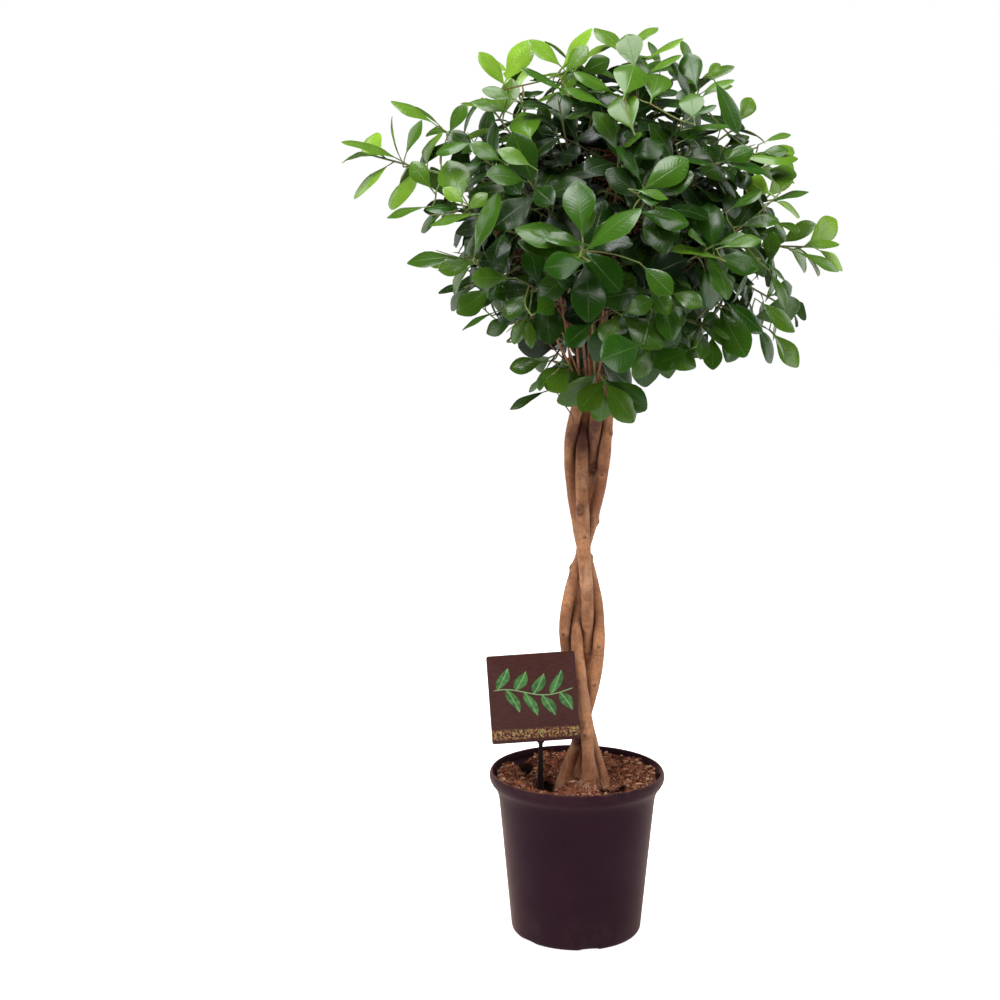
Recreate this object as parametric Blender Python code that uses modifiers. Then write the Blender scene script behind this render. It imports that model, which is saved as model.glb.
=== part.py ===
"""A braided ficus in a plastic nursery pot, with a plant tag on a stake.

Metres, +Z up. The origin is the middle of the pot's underside, +X is to the right seen from the
front, and the front is -Y. Four stems are braided round each other. Above the braid each one runs
on as a leader with limbs and thin branches, all one body of wood. Each branch ends in a green leafy
shoot, which is a node of its own.
"""

import math
import random

import bmesh
import bpy
import numpy as np
from mathutils import Vector
from mathutils.bvhtree import BVHTree

# Clearance between pieces that touch
GAP = 0.0003

# Pot: a tapered wall, a convex collar that flares to the lip, and a foot with drain notches
POT_HEIGHT = 0.215
POT_WALL = 0.0018
POT_FLOOR = 0.0068
CORNER_ROUNDING = 0.004
POT_STEPS = 32
FOOT_RADIUS = 0.0763
FOOT_ROUNDING = 0.0090
FOOT_TURNS = (30, 62, 90)
WALL_RADIUS_AT_FOOT = 0.0846
WALL_SLOPE = 0.095
COLLAR_START = 0.160
LIP_HEIGHT = 0.2018
COLLAR_FLARE = 0.0104
RIM_RADIUS = 0.1112
RIM_WIDTH = 0.0020
NOTCH_COUNT = 6
NOTCH_WIDTH = 0.026
NOTCH_HEIGHT = 0.004
NOTCH_DEPTH = 0.026
NOTCH_TURN = math.radians(-80)
DRAIN_RADIUS = 0.0045
DRAIN_SIDES = 10
DRAIN_CIRCLE = 0.060

# Soil
SOIL_HEIGHT = 0.197
SOIL_RINGS = (0.040, 0.075)
SOIL_BUMP = 0.0018
SOIL_MOUND = 0.003
MOUND_REACH = 0.040
SOIL_EDGE = 0.003
HOLE_GAP = 0.00045
HOLE_REACH = 0.05

# Braid: the stems' places follow an angle that grows from the heads down to the soil
PITCH_ACROSS = 0.0147
PITCH_DEEP = 0.0165
BRAID_HEIGHTS = (0.150, 0.291, 0.402, 0.504, 0.645, 0.760)
BRAID_ANGLES = (360, 270, 180, 90, 0, -90)
AXIS_HEIGHTS = (0.20, 0.291, 0.402, 0.504, 0.645, 0.700, 0.760)
AXIS_DRIFT = (0.008, 0.010, 0.005, 0.006, 0.011, 0.018, 0.022)
STEM_FOOT = 0.135
STEM_HEAD = 0.715
STEM_POINTS = 16
STEM_RADIUS = 0.0070
STEM_SWELL = 0.0005
FLARE_HEIGHT = 0.060
FLARE_SPREAD = 0.35

# Each stem: how far it swings across and deep in pitches, extra swell where it passes in front,
# flare at the soil, where its leader ends, and the side limbs as (place along the leader, end)
STEMS = {
    "stem_1": dict(
        across=-1.5, deep=0.5, swell=0.0, flare=0.25, leader=(-0.115, -0.015, 0.925),
        limbs=((0.22, (-0.060, -0.100, 0.875)), (0.40, (-0.085, 0.085, 0.960))),
    ),
    "stem_2": dict(
        across=-0.5, deep=-1.5, swell=0.0009, flare=0.25, leader=(-0.010, 0.095, 0.985),
        limbs=((0.25, (0.060, 0.140, 0.880)), (0.15, (-0.075, 0.120, 0.865))),
    ),
    "stem_3": dict(
        across=0.5, deep=1.5, swell=0.0, flare=0.75, leader=(0.040, -0.055, 1.015),
        limbs=((0.18, (0.035, -0.135, 0.870)), (0.42, (0.085, -0.120, 0.955))),
    ),
    "stem_4": dict(
        across=1.5, deep=-0.5, swell=0.0, flare=0.25, leader=(0.155, 0.010, 0.920),
        limbs=((0.20, (0.135, -0.080, 0.840)), (0.42, (0.115, 0.080, 0.975))),
    ),
}
LEADER_RADII = (0.0066, 0.0026)
LIMB_RADII = (0.0036, 0.0023)
BRANCH_RADII = (0.0023, 0.0020)
LEADER_POINTS = 5
LIMB_POINTS = 5
BRANCH_POINTS = 3
LEADER_PULL = 0.8
LIMB_PULL = 0.7
BRANCH_PULL = 0.6
ALONG_THE_LIMB = 0.5
BRANCH_STUB = 0.010
SHORTEST_BRANCH = 0.025
LEAN_COST = 0.35
TURN_COST = 0.25
NEAREST = 40

# Leafy shoots that shape the outline and the front: place of the tip, the way it points, leaf size
SHOOTS = (
    ((-0.007, -0.215, 0.893), (-0.1, -1.0, 0.50), 1.15),
    ((0.068, -0.205, 0.950), (0.2, -1.0, 0.55), 1.05),
    ((0.143, -0.175, 0.890), (0.45, -0.9, 0.35), 1.00),
    ((0.036, -0.175, 0.998), (0.0, -0.8, 0.7), 1.00),
    ((-0.066, -0.185, 0.962), (-0.35, -0.9, 0.45), 1.05),
    ((0.092, -0.185, 0.838), (0.35, -1.0, 0.0), 1.00),
    ((0.040, -0.185, 0.812), (0.1, -1.0, -0.05), 1.00),
    ((-0.062, -0.155, 0.838), (-0.5, -0.9, 0.0), 0.95),
    ((-0.108, -0.145, 0.912), (-0.7, -0.7, 0.2), 1.00),
    ((0.119, -0.140, 0.999), (0.4, -0.6, 0.7), 1.00),
    ((0.078, -0.140, 0.776), (0.3, -0.8, -0.35), 1.05),
    ((0.142, -0.115, 0.795), (0.6, -0.7, -0.2), 0.95),
    ((0.200, -0.110, 0.902), (0.8, -0.5, 0.2), 0.95),
    ((0.060, -0.125, 1.062), (0.1, -0.5, 0.9), 1.00),
    ((-0.031, -0.125, 1.052), (-0.2, -0.5, 0.9), 0.95),
    ((0.134, -0.085, 1.058), (0.5, -0.3, 0.85), 1.05),
    ((-0.123, -0.110, 0.993), (-0.7, -0.5, 0.5), 0.90),
    ((-0.110, -0.055, 1.052), (-0.6, -0.2, 0.8), 0.90),
    ((-0.084, 0.010, 1.092), (-0.35, -0.1, 1.0), 1.00),
    ((-0.013, 0.000, 1.106), (-0.1, -0.1, 1.0), 1.05),
    ((0.056, -0.030, 1.120), (0.0, -0.1, 1.0), 1.05),
    ((0.138, 0.000, 1.090), (0.35, 0.0, 0.9), 1.00),
    ((0.102, 0.050, 1.090), (0.2, 0.3, 1.0), 0.95),
    ((0.020, 0.075, 1.090), (0.0, 0.4, 1.0), 0.95),
    ((0.196, 0.030, 1.034), (0.8, 0.1, 0.6), 0.95),
    ((0.228, -0.030, 0.985), (0.95, -0.2, 0.3), 0.90),
    ((0.242, 0.035, 0.943), (1.0, 0.1, 0.15), 1.00),
    ((0.284, -0.030, 0.886), (1.0, -0.1, -0.02), 1.00),
    ((0.268, 0.045, 0.806), (0.9, 0.1, -0.50), 0.85),
    ((0.222, -0.045, 0.790), (0.8, -0.3, -0.40), 1.05),
    ((0.100, -0.070, 0.772), (0.3, -0.3, -0.85), 0.90),
    ((0.028, -0.055, 0.718), (0.1, -0.3, -1.0), 1.12),
    ((-0.038, -0.045, 0.746), (-0.6, -0.2, -0.8), 0.90),
    ((-0.076, -0.045, 0.800), (-0.8, -0.3, -0.55), 0.90),
    ((-0.140, -0.060, 0.866), (-0.95, -0.3, -0.15), 1.00),
    ((-0.140, 0.035, 0.836), (-0.9, 0.2, -0.35), 0.85),
    ((-0.168, 0.000, 0.930), (-1.0, 0.0, 0.05), 0.85),
    ((-0.250, -0.020, 0.995), (-1.0, -0.05, 0.26), 1.15),
    ((-0.172, 0.030, 1.030), (-0.85, 0.1, 0.5), 0.90),
    ((-0.150, 0.045, 0.978), (-0.9, 0.4, 0.25), 0.90),
)

# Shoots at the back, spread evenly over an oval by the golden angle
CROWN_MIDDLE = (0.026, 0.010, 0.925)
BACK_REACH = (0.205, 0.195, 0.175)
BACK_COUNT = 11
BACK_LIFT = (-0.88, 0.86)
BACK_PLACES = 26
BACK_TURN = 0.6
BACK_SIDE = 0.22
BACK_RISE = 0.15

SHOOT_LENGTH = 0.085
SHOOT_RADII = (0.0020, 0.0016)
LEAVES = 7
LEAF_START = 0.0020
LEAF_SPACING = 0.0105
GOLDEN_ANGLE = math.radians(137.5)
YOUNGEST_LEAN = math.radians(26)
OLDEST_LEAN = math.radians(70)
LEAN_POWER = 0.8
SAG = 0.18
TO_THE_LIGHT = 0.38
TO_THE_SKY = 0.70
OUTWARD = 0.30
LIT_SIDE = 0.06

# How far a leaf strays at the first attempt, and how much further at each later one
TURN_STRAY = (0.15, 0.10)
LEAN_STRAY = (0.12, 0.05)
FACE_STRAY = (0.34, 0.03)
SHRINK = 0.018

# Leaf: a petiole and an obovate blade that curls down towards its tip
PETIOLE = 0.010
BLADE_LENGTH = 0.056
BLADE_WIDTH = 0.59
BLADE_DEPTH = 0.0014
PETIOLE_WIDTH = 0.0022
ROOT_WIDTH = 0.0014
ROOT_DEPTH = 0.0012
WIDEST = 0.60
OUTLINE_POWER = 0.80
STATIONS = (0.42, 0.80)
LEAF_SIZES = (0.74, 0.90)
LEAF_SPREAD = 0.16
WIDTH_SPREAD = 0.08
CURL = 0.75
CURL_SPREAD = 0.35

# Room kept round what grows, for other nodes
ROOM = 0.0010
TRIES = 16
NUDGE = 0.06
SHOOT_FOOT = 0.004
SEED = 41

# Plant tag: a card in the slot of a tapered stake
CARD_WIDTH = 0.112
CARD_HEIGHT = 0.115
CARD_THICKNESS = 0.0008
CARD_CORNER = 0.008
CORNER_POINTS = 4
CARD_MIDDLE = (-0.0575, -0.040, 0.3210)
CARD_TURN = math.radians(-4)
STAKE_X = -0.048
STAKE_FOOT = 0.120
STAKE_WIDTHS = (0.004, 0.009, 0.005)
STAKE_THICKNESS = 0.0024
HEAD_WIDTH = 0.012
HEAD_THICKNESS = 0.0044
HEAD_HEIGHT = 0.016
CARD_BITE = 0.009
SLOT_SPARE = 0.0015


def clear_scene():
    for obj in list(bpy.data.objects):
        bpy.data.objects.remove(obj, do_unlink=True)


def new_collection(name, hidden=False):
    collection = bpy.data.collections.new(name)
    bpy.context.scene.collection.children.link(collection)
    collection.hide_render = hidden
    return collection


def material(name, colour, roughness):
    made = bpy.data.materials.new(name)
    made.use_nodes = True
    shader = made.node_tree.nodes["Principled BSDF"]
    shader.inputs["Base Color"].default_value = (*colour, 1.0)
    shader.inputs["Roughness"].default_value = roughness
    shader.inputs["Metallic"].default_value = 0.0
    return made


def new_object(name, mesh, collection, finish=None):
    obj = bpy.data.objects.new(name, mesh)
    collection.objects.link(obj)
    if finish:
        mesh.materials.clear()
        mesh.materials.append(finish)
    return obj


def as_cutter(obj, collection):
    """Moves an object into a collection of cutters, where only its outline is drawn."""
    for holder in list(obj.users_collection):
        holder.objects.unlink(obj)
    collection.objects.link(obj)
    obj.hide_render = True
    obj.display_type = "WIRE"


def cut_with(obj, cutters):
    """A live Boolean that cuts every object of a collection out of this one."""
    cut = obj.modifiers.new("cut", "BOOLEAN")
    cut.operation = "DIFFERENCE"
    cut.solver = "EXACT"
    cut.operand_type = "COLLECTION"
    cut.collection = cutters


def box(name, size, location, rotation, collection):
    """A cuboid that only joins or cuts."""
    bpy.ops.mesh.primitive_cube_add(size=1.0)
    obj = bpy.context.object
    obj.name = name
    obj.scale = size
    obj.location = location
    obj.rotation_euler = rotation
    as_cutter(obj, collection)


def rod(name, radius, height, location, sides, collection):
    """An upright cylinder that only joins or cuts."""
    bpy.ops.mesh.primitive_cylinder_add(vertices=sides, radius=radius, depth=height)
    obj = bpy.context.object
    obj.name = name
    obj.location = location
    as_cutter(obj, collection)


def child_collection(name, parent):
    made = bpy.data.collections.new(name)
    parent.children.link(made)
    return made


def mesh_of(name, points, faces):
    mesh = bpy.data.meshes.new(name)
    mesh.from_pydata([tuple(p) for p in points], [], faces)
    shell = bmesh.new()
    shell.from_mesh(mesh)
    bmesh.ops.recalc_face_normals(shell, faces=shell.faces)
    bmesh.ops.triangulate(shell, faces=shell.faces)
    shell.to_mesh(mesh)
    shell.free()
    return mesh


def loft(sections, tip=None):
    """Points and faces of a closed skin over rings of equal count, ending in a cap or at a tip."""
    count = len(sections[0])
    points = [p for ring in sections for p in ring]
    faces = [tuple(reversed(range(count)))]
    for k in range(len(sections) - 1):
        for i in range(count):
            j = (i + 1) % count
            faces.append((k * count + i, k * count + j, (k + 1) * count + j, (k + 1) * count + i))
    last = (len(sections) - 1) * count
    if tip is None:
        faces.append(tuple(range(last, last + count)))
    else:
        points.append(tip)
        faces += [(last + i, last + (i + 1) % count, len(points) - 1) for i in range(count)]
    return points, faces


def smooth_shade(mesh):
    mesh.shade_smooth()
    mesh.set_sharp_from_angle(angle=math.radians(40))


def turned(name, profile, steps, collection, finish):
    """A profile in the XZ plane, from the axis round and back to the axis, turned about Z."""
    mesh = bpy.data.meshes.new(name)
    edges = [(i, i + 1) for i in range(len(profile) - 1)]
    mesh.from_pydata([(r, 0.0, z) for r, z in profile], edges, [])
    obj = new_object(name, mesh, collection, finish)
    screw = obj.modifiers.new("turn", "SCREW")
    screw.axis = "Z"
    screw.steps = steps
    screw.render_steps = steps
    screw.use_merge_vertices = True
    screw.merge_threshold = 1e-5
    screw.use_smooth_shade = True
    return obj


def evaluated_mesh(obj):
    """The object's mesh as the viewport shows it."""
    graph = bpy.context.evaluated_depsgraph_get()
    return bpy.data.meshes.new_from_object(obj.evaluated_get(graph))


def welded_mesh(obj):
    """The same with doubled points made one, as where a curve's caps meet its sides."""
    mesh = evaluated_mesh(obj)
    shell = bmesh.new()
    shell.from_mesh(mesh)
    bmesh.ops.remove_doubles(shell, verts=shell.verts, dist=1e-6)
    bmesh.ops.recalc_face_normals(shell, faces=shell.faces)
    shell.to_mesh(mesh)
    shell.free()
    return mesh


def tube(name, points, radii, resolution, collection):
    """A poly curve with a round bevel and filled caps, whose radius changes along it."""
    curve = bpy.data.curves.new(name, "CURVE")
    curve.dimensions = "3D"
    curve.bevel_depth = 1.0
    curve.bevel_resolution = resolution
    curve.use_fill_caps = True
    spline = curve.splines.new("POLY")
    spline.points.add(len(points) - 1)
    for place, point, radius in zip(spline.points, points, radii):
        place.co = (*point, 1.0)
        place.radius = radius
    return new_object(name, curve, collection)


def as_mesh(obj, collection):
    """Replaces a curve object with a mesh object of the same shape."""
    mesh = welded_mesh(obj)
    made = new_object(obj.name + "_mesh", mesh, collection)
    made.matrix_world = obj.matrix_world
    bpy.data.objects.remove(obj, do_unlink=True)
    return made


def joined(base, others, finish, collection):
    """One Boolean union of an object with a collection, applied, and the collection's objects removed."""
    union = base.modifiers.new("join", "BOOLEAN")
    union.operation = "UNION"
    union.solver = "MANIFOLD"
    union.operand_type = "COLLECTION"
    union.collection = others
    mesh = evaluated_mesh(base)
    name = base.name
    base.modifiers.remove(union)
    base.name = name + "_alone"
    made = new_object(name, mesh, collection, finish)
    for obj in [base, *others.objects]:
        bpy.data.objects.remove(obj, do_unlink=True)
    bpy.data.collections.remove(others)
    return made


# Pot and soil


def wall_radius(z):
    """Outside radius: a straight taper, with a flare that grows as a square over the collar."""
    flare = max(0.0, (z - COLLAR_START) / (LIP_HEIGHT - COLLAR_START))
    return WALL_RADIUS_AT_FOOT + WALL_SLOPE * (z - FOOT_ROUNDING) + COLLAR_FLARE * min(flare, 1.0) ** 2


def wall_heights():
    collar = np.linspace(COLLAR_START, LIP_HEIGHT, 4)
    return [FOOT_ROUNDING + POT_WALL, *map(float, collar)]


def floor_corner():
    """Radius at which the pot's floor turns up into its wall."""
    return wall_radius(POT_FLOOR) - POT_WALL - CORNER_ROUNDING


def pot_profile():
    """From the middle of the floor out, up inside, over the rim, down outside and under the foot."""
    inside = [(0.0, POT_FLOOR), (floor_corner(), POT_FLOOR)]
    inside += [(wall_radius(z) - POT_WALL, z + POT_WALL / 2) for z in wall_heights()]
    rim = [(RIM_RADIUS - RIM_WIDTH, POT_HEIGHT), (RIM_RADIUS, POT_HEIGHT)]
    outside = [(wall_radius(z), z) for z in reversed(wall_heights())]
    outside[-1] = (WALL_RADIUS_AT_FOOT, FOOT_ROUNDING)
    rounding = [
        (
            FOOT_RADIUS + (WALL_RADIUS_AT_FOOT - FOOT_RADIUS) * math.cos(turn),
            FOOT_ROUNDING * (1 - math.sin(turn)),
        )
        for turn in map(math.radians, FOOT_TURNS)
    ]
    return inside + rim + outside + rounding + [(0.0, 0.0)]


def build_pot(parts, cutters):
    """The turned shell, with radial channels under the foot and a drain hole up from each one."""
    finish = material("pot_plastic", (0.024, 0.012, 0.018), 0.55)
    pot = turned("pot", pot_profile(), POT_STEPS, parts, finish)
    drains = child_collection("pot_cutters", cutters)
    inner, outer = FOOT_RADIUS - NOTCH_DEPTH, WALL_RADIUS_AT_FOOT + NOTCH_HEIGHT
    size = (outer - inner, NOTCH_WIDTH, NOTCH_HEIGHT * 2)
    for k in range(NOTCH_COUNT):
        turn = NOTCH_TURN + k * 2 * math.pi / NOTCH_COUNT
        way = Vector((math.cos(turn), math.sin(turn), 0.0))
        box(f"notch_{k + 1}", size, way * (inner + outer) / 2, (0.0, 0.0, turn), drains)
        middle = way * DRAIN_CIRCLE + Vector((0.0, 0.0, POT_FLOOR))
        rod(f"drain_{k + 1}", DRAIN_RADIUS, POT_FLOOR * 3, middle, DRAIN_SIDES, drains)
    cut_with(pot, drains)


def soil_level(x, y):
    """A low mound round the stems with two slow waves across it."""
    mound = SOIL_MOUND * math.exp(-(x * x + y * y) / MOUND_REACH**2)
    waves = math.sin(70 * x + 1.0) * math.cos(58 * y) + 0.6 * math.sin(95 * (x - y))
    return SOIL_HEIGHT + mound + SOIL_BUMP * waves


def soil_profile():
    """The surface from the middle out, then down the pot's inner wall with a clearance, then the floor."""
    top = [(0.0, SOIL_HEIGHT)] + [(r, SOIL_HEIGHT) for r in SOIL_RINGS]
    wall = [z for z in wall_heights() if z < SOIL_HEIGHT - SOIL_EDGE]
    levels = [SOIL_HEIGHT - SOIL_EDGE - POT_WALL / 2, *reversed(wall)]
    side = [(wall_radius(z) - POT_WALL - 2 * GAP, z + POT_WALL / 2) for z in levels]
    corner = (floor_corner() - 2 * GAP, POT_FLOOR + GAP)
    return top + side + [corner, (0.0, POT_FLOOR + GAP)]


def build_soil(parts, cutters, stems):
    """The root ball, with an uneven top and plain holes for the stems and the stake."""
    shape = turned("soil_shape", soil_profile(), POT_STEPS, cutters, None)
    mesh = welded_mesh(shape)
    bpy.data.objects.remove(shape, do_unlink=True)
    for vertex in mesh.vertices:
        x, y, z = vertex.co
        if z > SOIL_HEIGHT - GAP and math.hypot(x, y) < SOIL_RINGS[-1] + GAP:
            vertex.co.z = soil_level(x, y)
    soil = new_object("soil", mesh, parts, material("coir_soil", (0.10, 0.045, 0.030), 0.95))
    holes = child_collection("soil_cutters", cutters)
    for name, stem in stems.items():
        points, radii = stem["trunk"]
        low = [k for k, point in enumerate(points) if point.z < SOIL_HEIGHT + HOLE_REACH]
        path = [points[0] - Vector((0, 0, GAP))] + [points[k] for k in low[1:]]
        bore = tube(f"hole_{name}", path, [radii[k] + HOLE_GAP for k in low], 2, holes)
        as_cutter(as_mesh(bore, holes), holes)
    slot = stake_blade(STAKE_FOOT - GAP, SOIL_HEIGHT + HOLE_REACH / 2, HOLE_GAP)
    as_cutter(new_object("hole_stake", slot, holes), holes)
    cut_with(soil, holes)


# Plant tag


def stake_width(z):
    levels = (STAKE_FOOT, SOIL_HEIGHT, CARD_MIDDLE[2] - CARD_HEIGHT / 2)
    return float(np.interp(z, levels, STAKE_WIDTHS))


def stake_blade(bottom, top, extra):
    """A flat tapered blade between two heights, wider by an extra on every side."""
    x, y = STAKE_X, CARD_MIDDLE[1]
    deep = STAKE_THICKNESS / 2 + extra
    sections = []
    for z in (bottom, SOIL_HEIGHT, top):
        half = stake_width(z) / 2 + extra
        corners = ((-half, -deep), (half, -deep), (half, deep), (-half, deep))
        sections.append([(x + across, y + out, z) for across, out in corners])
    return mesh_of("blade", *loft(sections))


def card_outline():
    """A rectangle with rounded corners, anticlockwise."""
    points = []
    for k, (sx, sy) in enumerate(((1, 1), (-1, 1), (-1, -1), (1, -1))):
        for turn in np.radians(90 * k + np.linspace(0, 90, CORNER_POINTS)):
            x = sx * (CARD_WIDTH / 2 - CARD_CORNER) + CARD_CORNER * math.cos(turn)
            y = sy * (CARD_HEIGHT / 2 - CARD_CORNER) + CARD_CORNER * math.sin(turn)
            points.append((x, y))
    return points


def build_card(parts, cutters):
    flat = bpy.data.curves.new("card_outline", "CURVE")
    flat.dimensions = "2D"
    flat.fill_mode = "BOTH"
    flat.extrude = CARD_THICKNESS / 2
    spline = flat.splines.new("POLY")
    points = card_outline()
    spline.points.add(len(points) - 1)
    for place, (x, y) in zip(spline.points, points):
        place.co = (x, y, 0.0, 1.0)
    spline.use_cyclic_u = True
    outline = new_object("card_outline", flat, cutters)
    print_brown = material("card_print", (0.055, 0.022, 0.018), 0.5)
    card = new_object("tag_card", welded_mesh(outline), parts, print_brown)
    card.location = CARD_MIDDLE
    card.rotation_euler = (math.radians(90), CARD_TURN, 0.0)
    bpy.data.objects.remove(outline, do_unlink=True)


def build_stake(parts, cutters):
    """A flat blade with a head, and a slot in the head that the card's lower edge stands in."""
    card_foot = CARD_MIDDLE[2] - CARD_HEIGHT / 2
    head_foot = card_foot + CARD_BITE - HEAD_HEIGHT
    blade = new_object("tag_stake", stake_blade(STAKE_FOOT, head_foot + STAKE_THICKNESS, 0.0), parts)
    heads = child_collection("stake_parts", cutters)
    middle = (STAKE_X, CARD_MIDDLE[1], head_foot + HEAD_HEIGHT / 2)
    box("stake_head", (HEAD_WIDTH, HEAD_THICKNESS, HEAD_HEIGHT), middle, (0.0, 0.0, 0.0), heads)
    stake = joined(blade, heads, material("stake_plastic", (0.008, 0.008, 0.009), 0.5), parts)
    slots = child_collection("stake_cutters", cutters)
    size = (HEAD_WIDTH * 2, CARD_THICKNESS + 2 * GAP, HEAD_HEIGHT)
    middle = (STAKE_X, CARD_MIDDLE[1], card_foot - SLOT_SPARE + HEAD_HEIGHT / 2)
    box("stake_slot", size, middle, (0.0, CARD_TURN, 0.0), slots)
    cut_with(stake, slots)


# Wood


def braid_turn(z):
    return math.radians(float(np.interp(z, BRAID_HEIGHTS, BRAID_ANGLES)))


def foot_share(z):
    """1 at the soil, falling to 0 above and below it."""
    return max(0.0, 1 - abs(z - SOIL_HEIGHT) / FLARE_HEIGHT)


def stem_place(stem, z):
    """Where a stem's middle is at a height: the braid angle swings it across and deep."""
    spread = 1 + FLARE_SPREAD * foot_share(z)
    x = stem["across"] * PITCH_ACROSS * math.cos(braid_turn(z)) * spread
    y = stem["deep"] * PITCH_DEEP * math.sin(braid_turn(z)) * spread
    return Vector((x + float(np.interp(z, AXIS_HEIGHTS, AXIS_DRIFT)), y, z))


def stem_radius(stem, z):
    """Thicker at the waists, more so where the stem passes in front, and flared at the soil."""
    front = max(0.0, -math.copysign(1.0, stem["deep"]) * math.sin(braid_turn(z)))
    swell = STEM_SWELL * math.sin(braid_turn(z)) ** 2 + stem["swell"] * front**2
    return (STEM_RADIUS + swell) * (1 + stem["flare"] * foot_share(z) ** 2)


def hermite(start, start_pull, end, end_pull, count):
    """Points of a cubic that leaves the start and reaches the end along the two pulls."""
    points = []
    for t in np.linspace(0.0, 1.0, count):
        t = float(t)
        a = 2 * t**3 - 3 * t**2 + 1
        b = t**3 - 2 * t**2 + t
        c = -2 * t**3 + 3 * t**2
        d = t**3 - t**2
        points.append(a * start + b * start_pull + c * end + d * end_pull)
    return points


def taper(radii, count):
    return [float(r) for r in np.linspace(radii[0], radii[1], count)]


def grow_stem(stem):
    """The stem's own path with its leader, and its side limbs, each as points and radii."""
    heights = [float(z) for z in np.linspace(STEM_FOOT, STEM_HEAD, STEM_POINTS)]
    trunk = [stem_place(stem, z) for z in heights]
    radii = [stem_radius(stem, z) for z in heights]
    pull = (trunk[-1] - trunk[-2]).normalized() * LEADER_PULL
    end = Vector(stem["leader"])
    reach = (end - trunk[-1]).length
    leader = hermite(trunk[-1], pull * reach, end, (end - trunk[-1]) * LIMB_PULL, LEADER_POINTS)
    limbs = []
    for share, place in stem["limbs"]:
        at = share * (LEADER_POINTS - 1)
        low = int(at)
        start = leader[low].lerp(leader[low + 1], at - low)
        along = (leader[low + 1] - leader[low]).normalized()
        tip = Vector(place)
        reach = (tip - start).length
        pull = along * reach * LIMB_PULL
        limbs.append(hermite(start, pull, tip, (tip - start) * LIMB_PULL, LIMB_POINTS))
    trunk_points = trunk + leader[1:]
    trunk_radii = radii + taper(LEADER_RADII, LEADER_POINTS)[1:]
    return (trunk_points, trunk_radii), leader, limbs


class Room:
    """What already stands in the crown, each with an owner, to test that a new thing is clear of it."""

    def __init__(self):
        self.lows = []
        self.highs = []
        self.trees = []
        self.owners = []

    def add(self, skin, owner):
        points, faces = skin
        corners = np.array([tuple(p) for p in points])
        self.lows.append(corners.min(axis=0))
        self.highs.append(corners.max(axis=0))
        self.trees.append(BVHTree.FromPolygons([tuple(p) for p in points], faces))
        self.owners.append(owner)

    def fits(self, skin, but=()):
        points, faces = skin
        corners = np.array([tuple(p) for p in points])
        low, high = corners.min(axis=0), corners.max(axis=0)
        near = np.all((np.array(self.lows) < high) & (np.array(self.highs) > low), axis=1)
        tree = None
        for k in np.flatnonzero(near):
            if self.owners[k] in but:
                continue
            tree = tree or BVHTree.FromPolygons([tuple(p) for p in points], faces)
            if tree.overlap(self.trees[k]):
                return False
        return True


def pipe(points, radii, extra, sides=12):
    """The skin of a tapered pipe, thicker by an extra, for tests of room."""
    sections = []
    for k, point in enumerate(points):
        ahead = points[min(k + 1, len(points) - 1)] - points[max(k - 1, 0)]
        side = ahead.orthogonal().normalized() if k == 0 else (side - side.project(ahead)).normalized()
        other = ahead.cross(side).normalized()
        ring = [2 * math.pi * i / sides for i in range(sides)]
        reach = radii[k] + extra
        sections.append([point + reach * (math.cos(a) * side + math.sin(a) * other) for a in ring])
    return loft(sections)


def grow_branch(limbs, base, along, room):
    """The nearest place on a limb from which a branch reaches the shoot's base clear of other stems."""
    foot = base - along * BRANCH_STUB
    choices = []
    for owner, points in limbs:
        for k in range(len(points) - 1):
            for share in (0.25, 0.75):
                start = points[k].lerp(points[k + 1], share)
                way = foot - start
                if way.length < SHORTEST_BRANCH:
                    continue
                ahead = (points[k + 1] - points[k]).normalized()
                lean = ahead.dot(way.normalized())
                turn = along.dot(way.normalized())
                cost = way.length * (1 + LEAN_COST * (1 - lean)) * (1 + TURN_COST * (1 - turn))
                choices.append((cost, owner, start, ahead))
    choices.sort(key=lambda choice: choice[0])
    for _, owner, start, ahead in choices[:NEAREST]:
        pull = (foot - start).length * BRANCH_PULL
        lift = (ahead * ALONG_THE_LIMB + (foot - start).normalized()) * pull
        points = hermite(start, lift, foot, along * pull, BRANCH_POINTS) + [base]
        radii = taper(BRANCH_RADII, BRANCH_POINTS) + [BRANCH_RADII[1]]
        if room.fits(pipe(points, radii, ROOM), but=(owner,)):
            return owner, points, radii
    return None


# Leaves


def outline(u):
    """Half width of the blade as a share of the widest: a sine that rises slowly and ends blunt."""
    power = math.log(0.5) / math.log(WIDEST)
    return math.sin(math.pi * u**power) ** OUTLINE_POWER if 0 < u < 1 else 0.0


def leaf_frame(leaf, s):
    """Place, forward and upper directions at a length along the leaf, which bends as an arc."""
    total = PETIOLE + leaf["length"]
    bend = leaf["curl"] * s / total
    radius = total / leaf["curl"]
    place = leaf["root"] + radius * (math.sin(bend) * leaf["out"] - (1 - math.cos(bend)) * leaf["up"])
    out = math.cos(bend) * leaf["out"] - math.sin(bend) * leaf["up"]
    up = math.cos(bend) * leaf["up"] + math.sin(bend) * leaf["out"]
    return place, out, up


def leaf_skin(leaf):
    """Three-sided sections: the two edges and a keel under the midrib, up to a point."""
    sections = []
    stations = [(0.0, ROOT_WIDTH / 2, ROOT_DEPTH), (PETIOLE * 0.95, PETIOLE_WIDTH / 2, BLADE_DEPTH)]
    stations += [(PETIOLE + u * leaf["length"], outline(u) * leaf["width"] / 2, BLADE_DEPTH) for u in STATIONS]
    for s, half, depth in stations:
        place, out, up = leaf_frame(leaf, s)
        side = out.cross(up)
        lift = up * ROOT_DEPTH / 2
        sections.append([place - half * side + lift, place + half * side + lift, place + lift - depth * up])
    tip = leaf_frame(leaf, PETIOLE + leaf["length"])[0]
    return loft(sections, tip)


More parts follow.
